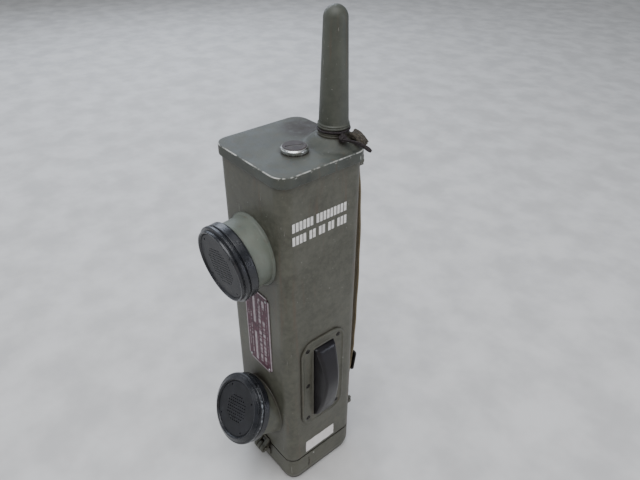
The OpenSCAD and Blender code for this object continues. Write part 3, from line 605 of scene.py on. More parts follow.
def plate_enamel(name, colours, low, high):
    """Etched alloy plate filled with maroon enamel: bare metal rules and bars, and rows of plain ticks."""
    finish, tree, shader, place = new_finish(name, 0.5, ior=1.4)
    split = add_node(tree, "ShaderNodeSeparateXYZ", {0: place})
    across = add_node(tree, "ShaderNodeMath", {0: split.outputs[0], 1: low[0]},
                      operation="SUBTRACT").outputs[0]
    up = add_node(tree, "ShaderNodeMath", {0: split.outputs[2], 1: low[2]}, operation="SUBTRACT").outputs[0]
    wide, tall = high[0] - low[0], high[2] - low[2]

    inside = maths(tree, "MULTIPLY", between(tree, across, 1.3, wide - 1.3),
                   between(tree, up, 1.3, tall - 1.3))
    rim = maths(tree, "SUBTRACT", 1.0, inside)
    bar = maths(tree, "MULTIPLY", between(tree, across, 10.5, 13.4),
                maths(tree, "ADD", between(tree, up, 3.5, 35), between(tree, up, 45, tall - 4)))
    rows = add_node(tree, "ShaderNodeMath", {0: across, 1: 2.7}, operation="PINGPONG").outputs[0]
    row = add_node(tree, "ShaderNodeMath", {0: rows, 1: 1.25}, operation="GREATER_THAN").outputs[0]
    ticks = patches(tree, stretched(tree, place, 60, 60, 1.1), 1.0, 0.46, 0.5, 2)
    blocks = patches(tree, stretched(tree, place, 5.4, 60, 8.5), 1.0, 0.4, 0.44, 1)
    rest = maths(tree, "ADD", between(tree, across, 14.8, wide - 3.5), between(tree, across, 3.4, 7.6))
    field = maths(tree, "MULTIPLY", rest, between(tree, up, 6, tall - 6))
    tick = maths(tree, "MULTIPLY", maths(tree, "MULTIPLY", row, ticks),
                 maths(tree, "MULTIPLY", blocks, field))
    metal = maths(tree, "MAXIMUM", maths(tree, "MAXIMUM", rim, bar), tick)
    worn = patches(tree, place, 2.2, 0.3, 0.62, 5, 0.7)
    ground = mixed(tree, worn, linear("34202A"), linear(colours.enamel))
    colour = mixed(tree, metal, ground, mixed(tree, worn, linear("93878A"), linear("B7ADB1")))
    tree.links.new(colour, shader.inputs["Base Color"])
    tree.links.new(maths(tree, "MULTIPLY", metal, 0.35), shader.inputs["Metallic"])
    skin_bump(tree, shader, metal, 0.06)
    return finish


def blown_glass(name):
    """Thin blown glass of a small valve, silvered and smoky, with the dark works showing through a little."""
    finish, tree, shader, place = new_finish(name, 0.08, ior=1.5)
    silver = patches(tree, place, 7, 0.35, 0.7, 3)
    colour = mixed(tree, silver, linear("33383A"), linear("A7B2B3"))
    tree.links.new(colour, shader.inputs["Base Color"])
    shader.inputs["Transmission Weight"].default_value = 0.35
    return finish


FINISHES = {}
LID_THICK = 2.5
AERIAL_HOLE = 8.2
PLUG_HEIGHT = 4.3


def make_finishes(context):
    """Makes every finish once."""
    c = context.scene.radio_colours
    pitch = context.scene.radio_sizes.thread / MM
    low, high = extent("data_plate")
    s = context.scene.radio_sizes
    _, gasket_top = extent("top_gasket")
    _, plug_top = extent("screw_plug")
    FINISHES.update({
        "case": olive_enamel("olive_enamel_case", c, edge=0.6, chips=0.15, stained=True),
        "lid": olive_enamel("olive_enamel_lid", c, edge=1.35, chips=0.25, dusty=0.3, mottle=9,
                            tint=("4F534E", "424540"), rim=gasket_top[2] + LID_THICK,
                            blotch=(-17, 25, gasket_top[2] + LID_THICK, 24), reach=4, sheen=(0.5, 0.62),
                            ior=1.38),
        "cup": olive_enamel("olive_enamel_cups", c, edge=0, chips=0.15, dusty=0.45, mottle=7,
                            tint=("5A5C53", "4C4E45"), reach=2.5),
        # Painted light: the earpiece neck is the same olive paint as the other castings, tinted lighter and cooler as
        # a painted highlight where it faces up to the light.
        "ear_cup": olive_enamel("olive_enamel_ear_cup_painted_light", c, edge=0, chips=0.15, dusty=0.35, mottle=7,
                                tint=("70776D", "60675E"), reach=2.5),
        "small": olive_enamel("olive_enamel_fittings", c, edge=0.8, chips=0.4),
        "aerial": olive_enamel("olive_enamel_aerial_cap", c, edge=1.0, chips=0.45, dusty=0.2,
                               tint=("4D5047", "40433B")),
        "ear": moulded_phenolic("moulded_phenolic_earpiece", c, worn=-0.6, base="17191E", gloss=(0.24, 0.34),
                                ior=1.55),
        "mouth": moulded_phenolic("moulded_phenolic_mouthpiece", c, worn=0.9, base="17191E",
                                  gloss=(0.24, 0.34), ior=1.5,
                                  rims=(Vector(s.mouth_rim) / MM, tilt_axis(s.mouth_tilt))),
        "face": moulded_phenolic("moulded_phenolic_faces", c, worn=0.3, base="131418", gloss=(0.46, 0.56),
                                 ior=1.45),
        "bakelite": moulded_phenolic("moulded_phenolic", c, worn=0.3),
        "rubber": moulded_rubber("moulded_rubber", c),
        "plug": tarnished_plug("tarnished_nickel_plug", plug_top[2]),
        "steel": plain_metal("plated_steel", "B4B4B0", "8B8A85", 0.38, rust=0.25),
        "aluminium": plain_metal("rolled_aluminium", "C6C8C8", "A5A7A7", 0.4),
        "brass": plain_metal("worn_brass", "B9975A", "8A6C3C", 0.36),
        "iron": plain_metal("blackened_iron", "4B4947", "302E2C", 0.5, rust=0.45, stain="3B302A"),
        "copper": plain_metal("enamelled_copper_wire", "A8633A", "7E4526", 0.35),
        "enamel": plate_enamel("filled_enamel_plate", c, low, high),
        "paper": mottled_solid("aged_paper", c.paper, "E6E1DC", 6, 0.9, 0.05, bloom="F6F3F0"),
        "leather": mottled_solid("waxed_leather", c.leather, "1D1718", 1.6, 0.5, 0.25, bloom="6A5F5C"),
        "stub": mottled_solid("frayed_webbing_end", "5E574B", "37312A", 1.5, 0.8, 0.4, bloom="A7A196"),
        "webbing": woven_webbing("cotton_webbing", c, pitch),
        "laminate": mottled_solid("phenolic_laminate", "5E3823", "47291A", 6, 0.45, 0.03),
        "wax": mottled_solid("waxed_paper_capacitor", "A57B45", "7E5A31", 4, 0.4, 0.03),
        "card": mottled_solid("printed_battery_card", "6B6448", "4E4934", 18, 0.7, 0.03),
        "glass": blown_glass("blown_glass"),
        "stencil": mottled_solid("stencil_paint", "FAF8F5", "E6E3DD", 2.5, 0.7, 0.03, bloom="BDBAB0"),
        "felt_hole_shade": mottled_solid("dark_cloth_hole_shade", "0C0C0C", "141312", 2.0, 0.95, 0.1),
    })


# ---- geometry of the pieces ----

def build_case(sizes):
    """Drawn case tube with its round openings and the slot of the talk button."""
    low, high = extent("case_shell")
    width, depth, corner, wall = high[0] - low[0], high[1] - low[1], sizes.corner / MM, sizes.wall / MM
    lip = 0.9
    rings = []
    for inset, z in ((lip, low[2]), (0.25, low[2] + 0.25), (0, low[2] + lip), (0, high[2] - lip),
                     (lip, high[2]), (wall, high[2]), (wall, low[2])):
        rings.append(level(box_ring(width - 2 * inset, depth - 2 * inset, corner - inset, 12), z))
    case = make_mesh("case_tube", *skin(rings, closed=True))
    cutters = []
    for rim, tilt in ((sizes.ear_rim, sizes.ear_tilt), (sizes.mouth_rim, sizes.mouth_tilt)):
        base_z = rim[2] / MM + (low[1] - rim[1] / MM) * math.tan(-tilt)
        cutters.append(turned([(0, -5), (22.4, -5), (22.4, 5), (0, 5)], (0, low[1], base_z), (0, 1, 0), 72))
    boot_low, boot_high = extent("talk_boot")
    slot = [(y, z) for y, z in box_ring(boot_high[1] - boot_low[1] + 2, boot_high[2] - boot_low[2] + 4, 1.5,
                                        4)]
    middle_y, middle_z = (boot_low[1] + boot_high[1]) / 2, (boot_low[2] + boot_high[2]) / 2
    cutters.append(slab(slot, high[0] - 5, high[0] + 5, lambda u, v, w: (w, middle_y + u, middle_z + v)))
    subtract(case, make_mesh("case_cutters", *joined(cutters)))
    fit(case, FINISHES["case"], "case", "olive_paint", "case_shell", crease=30)


def build_stencil():
    """Two rows of plain painted blocks high on the right wall."""
    _, high = extent("case_shell")
    face = high[0]
    rows = ((281.2, 7.0, (6, 9)), (270.6, 7.0, (4, 2, 2, 2, 3)))
    parts = []
    for middle, tall, groups in rows:
        y = -29.0
        for count in groups:
            for _ in range(count):
                block = box_ring(2.3, tall, 0.25, 2)
                parts.append(slab(block, face - 0.02, face + 0.05,
                                  lambda u, v, w, y=y: (w, y + 1.15 + u, middle + v)))
                y += 3.15
            y += 2.2
    marks = make_mesh("stencil_blocks", *joined(parts))
    fit(marks, FINISHES["stencil"], "case", "paper")


def build_lid(sizes):
    """Cast lid: sharp rim, shallow skirt, and a seat that rises smoothly round the aerial."""
    low, high = extent("top_cover")
    _, socket_top = extent("aerial_socket")
    socket_low, _ = extent("aerial_socket")
    aerial = Vector(((socket_low[0] + socket_top[0]) / 2, (socket_low[1] + socket_top[1]) / 2))
    foot = (socket_top[0] - socket_low[0]) / 2
    half = Vector(((high[0] - low[0]) / 2, (high[1] - low[1]) / 2))
    seat = socket_low[2]
    roof = extent("top_gasket")[1][2] + LID_THICK
    drop = roof - low[2]
    corner = sizes.corner / MM + 1

    def outline(inset, count=240):
        """Points of the lid's outline on rays from the aerial's axis."""
        ring = []
        for k in range(count):
            ray = Vector((math.cos(TAU * k / count), math.sin(TAU * k / count)))
            near, far = 0.0, 150.0
            for _ in range(36):
                reach = (near + far) / 2
                spot = aerial + ray * reach
                qx = abs(spot.x) - (half.x - inset) + (corner - inset)
                qy = abs(spot.y) - (half.y - inset) + (corner - inset)
                gap = math.hypot(max(qx, 0), max(qy, 0)) + min(max(qx, qy), 0) - (corner - inset)
                near, far = (reach, far) if gap < 0 else (near, reach)
            ring.append(aerial + ray * near)
        return ring

    def swell(spot, edge):
        """Height of the roof at a spot: the rise of the aerial's seat."""
        away = (spot - aerial).length
        rise = max(0.0, min(1.0, (foot + 10 - away) / 10.3))
        return (seat - roof) * rise * rise * (3 - 2 * rise) * edge

    inner = outline(1.0)
    hole = AERIAL_HOLE
    rings = []
    reaches = [0, 1.4, 2.5, 3.0, 3.6, 4.3, *range(5, 15), 17, 21, 27, 35, 45, 58, 75, 100]
    for i, reach in enumerate(reaches):
        ring = []
        for spot in inner:
            ray = (spot - aerial).normalized()
            start = aerial + ray * hole
            here = start + ray * min(reach, (spot - start).length * 0.98 * i / (len(reaches) - 1))
            edge = min(1.0, (spot - here).length / 1.6)
            ring.append(Vector((here.x, here.y, roof + swell(here, edge * edge * (3 - 2 * edge)))))
        rings.append(ring)
    for inset, down in ((1.0, 0.0), (0.55, 0.06), (0.25, 0.22), (0.07, 0.5), (0.0, 0.9), (0.0, drop - 1.0),
                        (0.12, drop - 0.4), (0.45, drop), (1.1, drop), (1.5, drop - 0.4), (1.5, LID_THICK),
                        (12, LID_THICK), (13, LID_THICK)):
        rings.append([Vector((p.x, p.y, roof - down)) for p in outline(inset)])
    under = [Vector((*(aerial + (p - aerial).normalized() * hole), roof - LID_THICK)) for p in inner]
    rings.append(under)
    lid = make_mesh("lid_casting", *skin(rings, closed=True))
    fit(lid, FINISHES["lid"], "case", "olive_paint", "top_cover", crease=50)


def build_plug():
    """Flat-headed screw plug with a bright rolled rim and a shallow worn slot."""
    low, high = extent("screw_plug")
    radius = (high[0] - low[0]) / 2
    centre = ((low[0] + high[0]) / 2, (low[1] + high[1]) / 2, 0)
    top, seat = high[2], high[2] - PLUG_HEIGHT
    profile = [(0, top - 0.15), (radius - 3.4, top - 0.05), (radius - 1.7, top - 0.02, 0.6),
               (radius, top - 1.4, 0.9), (radius, seat + 0.9, 0.3), (radius - 0.5, seat + 0.5, 0.2),
               (radius - 0.5, seat, 0.1), (5, seat), (5, low[2]), (0, low[2])]
    plug = make_mesh("screw_plug_head", *turned(filleted(profile, 0.25), centre, (0, 0, 1), 96))
    slot = slab(box_ring(13, 1.3, 0.4, 3), top - 0.75, top + 2, lambda u, v, w: (
        centre[0] + u * 0.4 - v * 0.9165, centre[1] + u * 0.9165 + v * 0.4, w))
    subtract(plug, make_mesh("plug_slot", *slot))
    fit(plug, FINISHES["plug"], "case", "plug_metal", "screw_plug", crease=35)


def build_cup(name, node, rim, tilt, neck, bore, collar, fillet, finish, steps=120):
    """Cast neck of a cup: a screw collar inside the cap, then a neck that flares into the case's front."""
    case_low, _ = extent("case_shell")
    face = case_low[1]
    axis = tilt_axis(tilt)
    rim = Vector(rim) / MM
    side = Vector((1, 0, 0))
    other = axis.cross(side)
    back = 14.4

    def ring(radius, depth):
        """A ring about the cup's axis, at a depth behind the rim."""
        return [rim - axis * depth
                + (side * math.cos(TAU * k / steps) + other * math.sin(TAU * k / steps)) * radius
                for k in range(steps)]

    def landed(radius, grow, lift):
        """Where the neck's straight sides meet the case's face, grown outwards and lifted off it."""
        out = []
        for start in ring(radius, back):
            run = (face - lift - start.y) / axis.y
            spot = start + axis * run
            outwards = Vector((spot.x, 0, spot.z - rim.z - (face - rim.y) / axis.y * axis.z)).normalized()
            out.append(spot + outwards * grow)
        return out

    rings = [ring(collar, 9.7), ring(collar, back - 0.4), ring(neck - 0.5, back - 0.4),
             ring(neck, back + 0.1)]
    for k in range(9):
        turn = math.radians(90 * k / 8)
        rings.append(landed(neck, fillet * (1 - math.cos(turn)), fillet * (1 - math.sin(turn))))
    rings += [landed(bore, 0, 0), ring(bore, 9.7)]
    cup = make_mesh(name, *skin(rings, closed=True))
    fit(cup, finish, "case", "olive_paint", node, crease=35)


def cap_profile(radius, inset):
    """Half section of a screwed cap: thin lip, sloping shoulder, a bead between grooves and a plain band."""
    r = radius
    lip = r - inset + 1.6
    outer = [(r - inset, -3.0), (r - inset, -1.3, 0.1), (lip - 1.3, -1.1, 0.1), (lip - 0.8, -0.2, 0.25),
             (lip, 0, 0.3), (lip + 0.5, -0.3, 0.3), (r - 2.0, -1.8, 0.3), (r - 2.3, -2.6, 0.2),
             (r - 0.5, -3.0, 0.2),
             (r, -3.7, 0.5), (r, -5.4, 0.4), (r - 0.6, -6.0, 0.2), (r - 1.6, -6.5, 0.2), (r - 0.4, -7.2, 0.4),
             (r - 0.4, -12.7, 0.9), (r - 1.7, -14.0, 0.4),
             (r - 4.2, -14.0), (r - 4.2, -7.4), (r - inset - 2.3, -7.4), (r - inset - 2.3, -3.0)]
    return filleted(outer, 0.3, closed=True)


def build_cap(name, node, rim, tilt, inset, pitch, hole, reach, finish):
    """Screwed cap with a separate perforated face, spanner dimples, and a near-black cloth behind that shows through
    the holes as painted shade.
    """
    low, high = extent(node)
    radius = (high[0] - low[0]) / 2
    axis = tilt_axis(tilt)
    origin = Vector(rim) / MM
    cap = make_mesh(name, *turned(cap_profile(radius, inset), origin, axis, 160, closed=True))
    fit(cap, finish, "case", "bakelite", node, crease=48)
    side = Vector((1, 0, 0))
    other = axis.cross(side)
    inner = radius - inset - 0.15
    face = [(0, -1.3), (inner - 4, -1.25, 2), (inner - 0.4, -1.3, 0.2), (inner, -1.7, 0.15), (inner, -2.95),
            (0, -2.95)]
    grille = make_mesh(name + "_face", *turned(filleted(face, 0.3), origin, axis, 120))
    turn = math.radians(18)
    drills = []
    count = int(reach / pitch) + 1
    for i in range(-count, count + 1):
        for j in range(-count, count + 1):
            u, v = i * pitch, j * pitch
            if math.hypot(u, v) > reach:
                continue
            spot = (origin + side * (u * math.cos(turn) - v * math.sin(turn))
                    + other * (u * math.sin(turn) + v * math.cos(turn)))
            drills.append(turned([(0, -4), (hole, -4), (hole, -1), (0, -1)], spot, axis, 10))
    for k in range(4):
        a = math.radians(45 + 90 * k)
        spot = origin + (side * math.cos(a) + other * math.sin(a)) * (inner - 2.6)
        drills.append(turned([(0, -2.5), (0.9, -2.3), (0.9, -1), (0, -1)], spot, axis, 12))
    subtract(grille, make_mesh("drills", *joined(drills)))
    fit(grille, FINISHES["face"], "case", "bakelite", crease=35)
    # Painted shade: a near-black cloth disc behind the face, so that the holes show dark.
    cloth = turned([(0, -6.3), (inner - 2.4, -6.3), (inner - 2.4, -6.9), (0, -6.9)], origin, axis, 64)
    fit(make_mesh(name + "_cloth", *cloth), FINISHES["felt_hole_shade"], "case", "rubber")


def build_plates():
    """Data plate with cut corners, its domed rivets, and the blank paper label."""
    low, high = extent("data_plate")
    cut = 3.8
    outline = [(low[0] + cut, low[2]), (high[0] - cut, low[2]), (high[0], low[2] + cut),
               (high[0], high[2] - cut), (high[0] - cut, high[2]), (low[0] + cut, high[2]),
               (low[0], high[2] - cut), (low[0], low[2] + cut)]
    plate = make_mesh("etched_plate", *slab(filleted(outline, 0.5, closed=True), high[1], low[1],
                                            lambda u, v, w: (u, w, v)))
    round_edges(plate, 0.22, 2, 50)
    fit(plate, FINISHES["enamel"], "case", "plate_enamel", "data_plate", crease=30)
    rivet_low, rivet_high = extent("plate_rivets")
    domes = []
    for x in (rivet_low[0] + 1.2, rivet_high[0] - 1.2):
        for z in (rivet_low[2] + 1.2, rivet_high[2] - 1.2):
            dome = [(0, 0.75), (0.5, 0.7), (0.95, 0.45), (1.15, 0.12), (1.2, 0), (1.0, -0.1), (0, -0.1)]
            domes.append(turned(dome, (x, rivet_high[1], z), (0, -1, 0), 24))
    fit(make_mesh("plate_rivet_domes", *joined(domes)), FINISHES["aluminium"], "case", "aluminium",
        "plate_rivets")
    build_label()


def build_label():
    """Blank paper label, cockled and torn a little along its edges."""
    low, high = extent("paper_label")
    random.seed(7)
    across, up = 44, 20
    tear = [random.uniform(0, 1) for _ in range(2 * (across + up))]

    def sheet(lift):
        """Points of one side of the sheet."""
        points = []
        for j in range(up + 1):
            for i in range(across + 1):
                u, v = i / across, j / up
                y = low[1] + (high[1] - low[1]) * u
                z = low[2] + (high[2] - low[2]) * v
                if i in (0, across):
                    y += (0.7 if i == 0 else -0.7) * tear[j]
                if j in (0, up):
                    z += (0.6 if j == 0 else -0.6) * tear[up + i]
                wave = 0.09 * math.sin(y * 0.9 + z * 0.5) * math.sin(z * 0.8 - y * 0.3) + 0.09
                points.append((low[0] + wave + lift, y, z))
        return points

    count = across + 1
    faces = [(j * count + i, j * count + i + 1, (j + 1) * count + i + 1, (j + 1) * count + i)
             for j in range(up) for i in range(across)]
    label = make_mesh("blank_label", sheet(0.0), faces)
    thick = label.modifiers.new("paper", "SOLIDIFY")
    thick.thickness = 0.12 * MM
    thick.offset = 0
    settle(label)
    fit(label, FINISHES["paper"], "case", "paper", "paper_label", crease=60)


def build_talk_button():
    """Cast escutcheon with a raised rim, its countersunk screws, and the bulged rubber button."""
    low, high = extent("talk_plate")
    boot_low, boot_high = extent("talk_boot")
    middle = Vector(((low[1] + high[1]) / 2, (low[2] + high[2]) / 2))
    width, tall, wall_x, face = high[1] - low[1], high[2] - low[2], low[0], high[0]
    boot_y, boot_z = boot_high[1] - boot_low[1], boot_high[2] - boot_low[2]

    def ring(grow, corner, x):
        """An outline of the plate at a distance from the case."""
        return [Vector((x, middle.x + u, middle.y + v))
                for u, v in box_ring(width + grow, tall + grow, corner, 12)]

    def slot_ring(grow, x):
        """An outline of the button's opening."""
        return [Vector((x, middle.x + u, middle.y + v))
                for u, v in box_ring(boot_y + grow, boot_z + grow, 0.8 + grow / 2, 12)]

    corner = 13.0
    rings = [ring(0, corner, wall_x), ring(0, corner, face - 0.9), ring(-0.5, corner - 0.25, face - 0.3),
             ring(-1.4, corner - 0.7, face), ring(-3.0, corner - 1.5, face),
             ring(-4.0, corner - 2, face - 0.25),
             ring(-5.0, corner - 2.5, face - 0.7), ring(-6.5, corner - 3.2, face - 0.8),
             slot_ring(3.6, face - 0.8), slot_ring(2.6, face - 0.5), slot_ring(1.6, face - 0.1),
             slot_ring(1.0, face - 0.1), slot_ring(0.8, face - 0.4), slot_ring(0.8, wall_x)]
    plate = make_mesh("talk_escutcheon", *skin(rings, closed=True))
    screw_low, screw_high = extent("talk_plate_screws")
    spots = [(y, z) for y in (screw_low[1] + 2.6, screw_high[1] - 2.6)
             for z in (screw_low[2] + 2.6, (screw_low[2] + screw_high[2]) / 2, screw_high[2] - 2.6)]
    sinks = [turned([(0, -0.9), (1.5, -0.9), (2.9, 0.6), (2.9, 2), (0, 2)], (face - 0.8, y, z), (1, 0, 0), 32)
             for y, z in spots]
    subtract(plate, make_mesh("screw_sinks", *joined(sinks)))
    fit(plate, FINISHES["case"], "case", "olive_paint", "talk_plate", crease=35)
    heads = [turned([(0, 0.1), (1.6, 0.02), (2.3, -0.3), (1.3, -1.0), (0, -1.0)], (face - 0.7, y, z),
                    (1, 0, 0), 32)
             for y, z in spots]
    screws = make_mesh("escutcheon_screws", *joined(heads))
    slots = [slab(box_ring(5.4, 0.7, 0.1, 1), -0.35, 1, lambda u, v, w, y=y, z=z, k=k: (
        face - 0.7 + w, y + u * math.cos(k) - v * math.sin(k), z + u * math.sin(k) + v * math.cos(k)))
        for k, (y, z) in enumerate(spots)]
    subtract(screws, make_mesh("screw_slots", *joined(slots)))
    fit(screws, FINISHES["iron"], "case", "steel", "talk_plate_screws", crease=30)
    build_boot(boot_low, boot_high, face)


def build_boot(low, high, face):
    """Bulged rubber button: drawn as a stack of rounded sections from its foot to its crest."""
    middle = Vector(((low[1] + high[1]) / 2, (low[2] + high[2]) / 2))
    half_y, half_z = (high[1] - low[1]) / 2, (high[2] - low[2]) / 2
    crest, step = high[0], 3.2
    rows, columns = 60, 22

    def height(t):
        """Height of the crest, from -1 at the button's foot to 1. It is highest a little above the middle."""
        peak = 0.12
        away = (t - peak) / (1 - peak if t > peak else 1 + peak)
        return face + step + (crest - face - step) * (1 - abs(away) ** 1.75)

    points = []
    for j in range(rows + 1):
        t = -1 + 2 * j / rows
        end = max(0.0, (abs(t) - 0.93) / 0.07)
        top = height(t) - 1.6 * end * end
        for i in range(columns + 1):
            s = -1 + 2 * i / columns
            edge = max(0.0, (abs(s) - 0.72) / 0.28)
            x = top - (1.3 * edge ** 2.2 + 0.25 * s * s)
            pull = 1 - 0.3 * max(0.0, (x - face - step) / (crest - face - step))
            points.append((x, middle.x + half_y * s * pull, middle.y + half_z * t))
    count = columns + 1
    faces = [(j * count + i, j * count + i + 1, (j + 1) * count + i + 1, (j + 1) * count + i)
             for j in range(rows) for i in range(columns)]
    border = ([(0, i) for i in range(columns)] + [(j, columns) for j in range(rows)]
              + [(rows, i) for i in range(columns, 0, -1)] + [(j, 0) for j in range(rows, 0, -1)])
    loop = [j * count + i for j, i in border]
    for x in (face - 0.4, low[0]):
        start = len(points)
        for j, i in border:
            points.append((x, middle.x + half_y * (-1 + 2 * i / columns),
                           middle.y + half_z * (-1 + 2 * j / rows)))
        lower = list(range(start, start + len(border)))
        faces += [(loop[k], loop[(k + 1) % len(loop)], lower[(k + 1) % len(loop)], lower[k])
                  for k in range(len(loop))]
        loop = lower
    faces.append(tuple(loop))
    boot = make_mesh("talk_button_rubber", points, faces)
    round_edges(boot, 0.7, 4, 40)
    fit(boot, FINISHES["rubber"], "talk_button", "rubber", "talk_boot", crease=60)


def build_aerial():
    """Aerial cap, its socket and seal."""
    low, high = extent("aerial_cap")
    socket_low, socket_high = extent("aerial_socket")
    foot = (high[0] - low[0]) / 2
    centre = ((low[0] + high[0]) / 2, (low[1] + high[1]) / 2, 0)
    tube, crown, wall = foot - 0.9, 8.0, 1.2
    base, top = low[2], high[2]
    outer = [(tube - wall, base), (foot, base, 0.5), (foot, base + 1.2, 0.4), (foot - 0.5, base + 1.6, 0.2),
             (foot - 0.1, base + 2.4, 0.4), (tube, base + 3.3, 0.4)]
    dome_z = top - crown
    dome = [(crown * math.cos(a), dome_z + crown * math.sin(a))
            for a in [TAU / 4 * k / 14 for k in range(15)]]
    inner_r = crown - wall
    hollow = [(inner_r * math.cos(a), dome_z + inner_r * math.sin(a))
              for a in [TAU / 4 * k / 8 for k in range(9)]]
    profile = filleted(outer + [dome[0]], 0.3) + dome[1:] + hollow[::-1] + [(tube - wall, base + 3)]
    cap = make_mesh("aerial_cap_tube", *turned(profile, centre, (0, 0, 1), 96, closed=True))
    fit(cap, FINISHES["aerial"], "aerial_cap", "olive_paint", "aerial_cap", crease=35)
    bottom, up = socket_low[2], socket_high[2]
    ring = [(AERIAL_HOLE, bottom), (foot, bottom, 0.3), (foot, bottom + 1.1, 0.3),
            (foot - 0.5, bottom + 1.5, 0.2), (foot - 0.1, bottom + 2.0, 0.3), (foot - 0.1, up, 0.4), (AERIAL_HOLE, up)]
    socket = make_mesh("aerial_socket_ring", *turned(filleted(ring, 0.2, closed=True), centre, (0, 0, 1), 96,
                                                     closed=True))
    fit(socket, FINISHES["small"], "case", "olive_paint", "aerial_socket", crease=35)
    seal_low, seal_high = extent("socket_seal")
    seal = [(AERIAL_HOLE, seal_low[2]), (foot - 1.5, seal_low[2], 0.4), (foot - 1.5, seal_high[2], 0.4),
            (AERIAL_HOLE, seal_high[2])]
    fit(make_mesh("socket_seal_ring",
                  *turned(filleted(seal, 0.3, closed=True), centre, (0, 0, 1), 72, closed=True)),
        FINISHES["rubber"], "case", "rubber", "socket_seal")


def build_tie():
    """Waxed leather lace wound round the groove under the cap, knotted at the right, with a frayed stub."""
    low, high = extent("aerial_socket")
    foot = (high[0] - low[0]) / 2
    x, y, z = (low[0] + high[0]) / 2, (low[1] + high[1]) / 2, high[2] + 1.15
    parts = []
    circle = [Vector((x + (foot - 0.2) * math.cos(TAU * k / 90), y + (foot - 0.2) * math.sin(TAU * k / 90),
                      z + 0.12 * math.sin(TAU * 5 * k / 90))) for k in range(90)]
    parts.append(lace(circle, [1.7] * 90, [1.75] * 90, closed=True))
    knot = Vector((x + foot + 3.2, y - 4.5, high[2] - 1.4))
    for turn, (rx, ry) in enumerate(((2.3, 1.7), (1.9, 2.2), (2.4, 1.5))):
        ring = []
        for k in range(30):
            a = TAU * k / 30
            flat = Vector((rx * math.cos(a), ry * math.sin(a), 0.5 * math.sin(2 * a)))
            ring.append(knot + Matrix.Rotation(math.radians(62 * turn + 20), 3, (0.5, 1, 0.25)) @ flat)
        parts.append(lace(ring, [2.0] * 30, [1.5] * 30, closed=True))
    lead = smooth_path([knot + Vector(p) for p in ((-4.2, 2.4, 2.7), (-2.4, 1.2, 1.5), (-0.6, 0.2, 0.4))], 5)
    parts.append(lace(lead, [1.8] * len(lead), [1.5] * len(lead)))
    tail = smooth_path([knot + Vector(p)
                        for p in ((0.4, 0.2, 0.2), (3, 1.2, -0.6), (8, 3.2, -0.9), (13, 5.4, -1.9),
                                                   (17, 7, -3.5), (19.6, 8, -5))], 6)
    last = len(tail) - 1
    wide = [3.7 + 0.9 * math.sin(i * 0.55) * (1 - i / last) - 2.0 * (i / last) ** 6 for i in range(last + 1)]
    parts.append(lace(tail, wide, [2.3 - 1.2 * i / last for i in range(last + 1)], twist=2.2))
    fit(make_mesh("leather_tie", *joined(parts)), FINISHES["leather"], "case", "leather", "cap_thong",
        crease=80)
    stub_low, stub_high = extent("thong_tab")
    random.seed(11)
    strands = []
    flat = smooth_path([Vector((stub_low[0] - 1.5, stub_low[1] + 4.4, stub_high[2] - 2.2)),
                        Vector((stub_low[0] + 5, stub_low[1] + 4.5, stub_high[2] - 2.6)),
                        Vector((stub_high[0] - 2, stub_low[1] + 4.6, stub_low[2] + 2.2))], 8)
    strands.append(lace(flat, [9.6 - 0.12 * i for i in range(len(flat))],
                        [5.2 - 0.12 * i for i in range(len(flat))]))
    for k in range(9):
        v = (k - 4) / 4
        root = Vector((stub_low[0] - 1.0 - 2.5 * max(v, 0), stub_low[1] + 4.2 + 3.4 * v, stub_high[2] - 0.6))
        end = Vector((stub_high[0] - random.uniform(0.4, 2.6), stub_low[1] + 4.2 + 3.2 * v,
                      stub_low[2] + random.uniform(1.6, 3.4)))
        bend = root.lerp(end, 0.45) + Vector((0, 0, random.uniform(0.9, 2.0)))
        path = smooth_path([root, bend, end], 8)
        strands.append(lace(path, [2.7 - 0.8 * i / 16 for i in range(len(path))],
                            [2.3 - 0.6 * i / 16 for i in range(len(path))], twist=random.uniform(-1.5, 1.5),
                            steps=10))
    fit(make_mesh("frayed_stub", *joined(strands)), FINISHES["stub"], "case", "pale_webbing", "thong_tab",
        crease=80)


def build_battery_cover(sizes):
    """Cast battery cover: a tray with a tucked-in foot, a rolled rim and a drain groove on the right."""
    low, high = extent("bottom_cover")
    width, depth, corner, wall = high[0] - low[0], high[1] - low[1], sizes.corner / MM, sizes.wall / MM
    rings = []
    foot, rise = 2.0, 9.0
    rings.append(level(box_ring(width - 2 * foot - 5, depth - 2 * foot - 5, corner - 2, 12), low[2]))
    for k in range(7):
        a = TAU / 4 * k / 6
        rings.append(level(box_ring(width - 2 * (foot + 1.6 * (1 - math.sin(a))),
                                    depth - 2 * (foot + 1.6 * (1 - math.sin(a))), corner, 12),
                           low[2] + 1.6 * (1 - math.cos(a))))
    for inset, z in ((1.1, low[2] + 5.4), (0.3, low[2] + 8.4), (0.0, rise + 1.2), (0.0, high[2] - 0.9),
                     (0.25, high[2] - 0.25), (0.9, high[2]), (wall - 0.2, high[2]), (wall, high[2] - 0.3),
                     (wall, rise), (wall + 2, rise - 0.6), (wall + 2, 3.4), (wall + 2.8, 3.0)):
        rings.append(level(box_ring(width - 2 * inset, depth - 2 * inset, max(corner - inset, 4), 12), z))
    cover = make_mesh("battery_cover_casting", *skin(rings))
    groove = slab(box_ring(1.5, 16, 0.7, 4), high[0] - 0.7, high[0] + 3,
                  lambda u, v, w: (w, -16.4 + u, 15 + v))
    subtract(cover, make_mesh("groove", *groove))
    fit(cover, FINISHES["case"], "battery_cover", "olive_paint", "bottom_cover", crease=38)


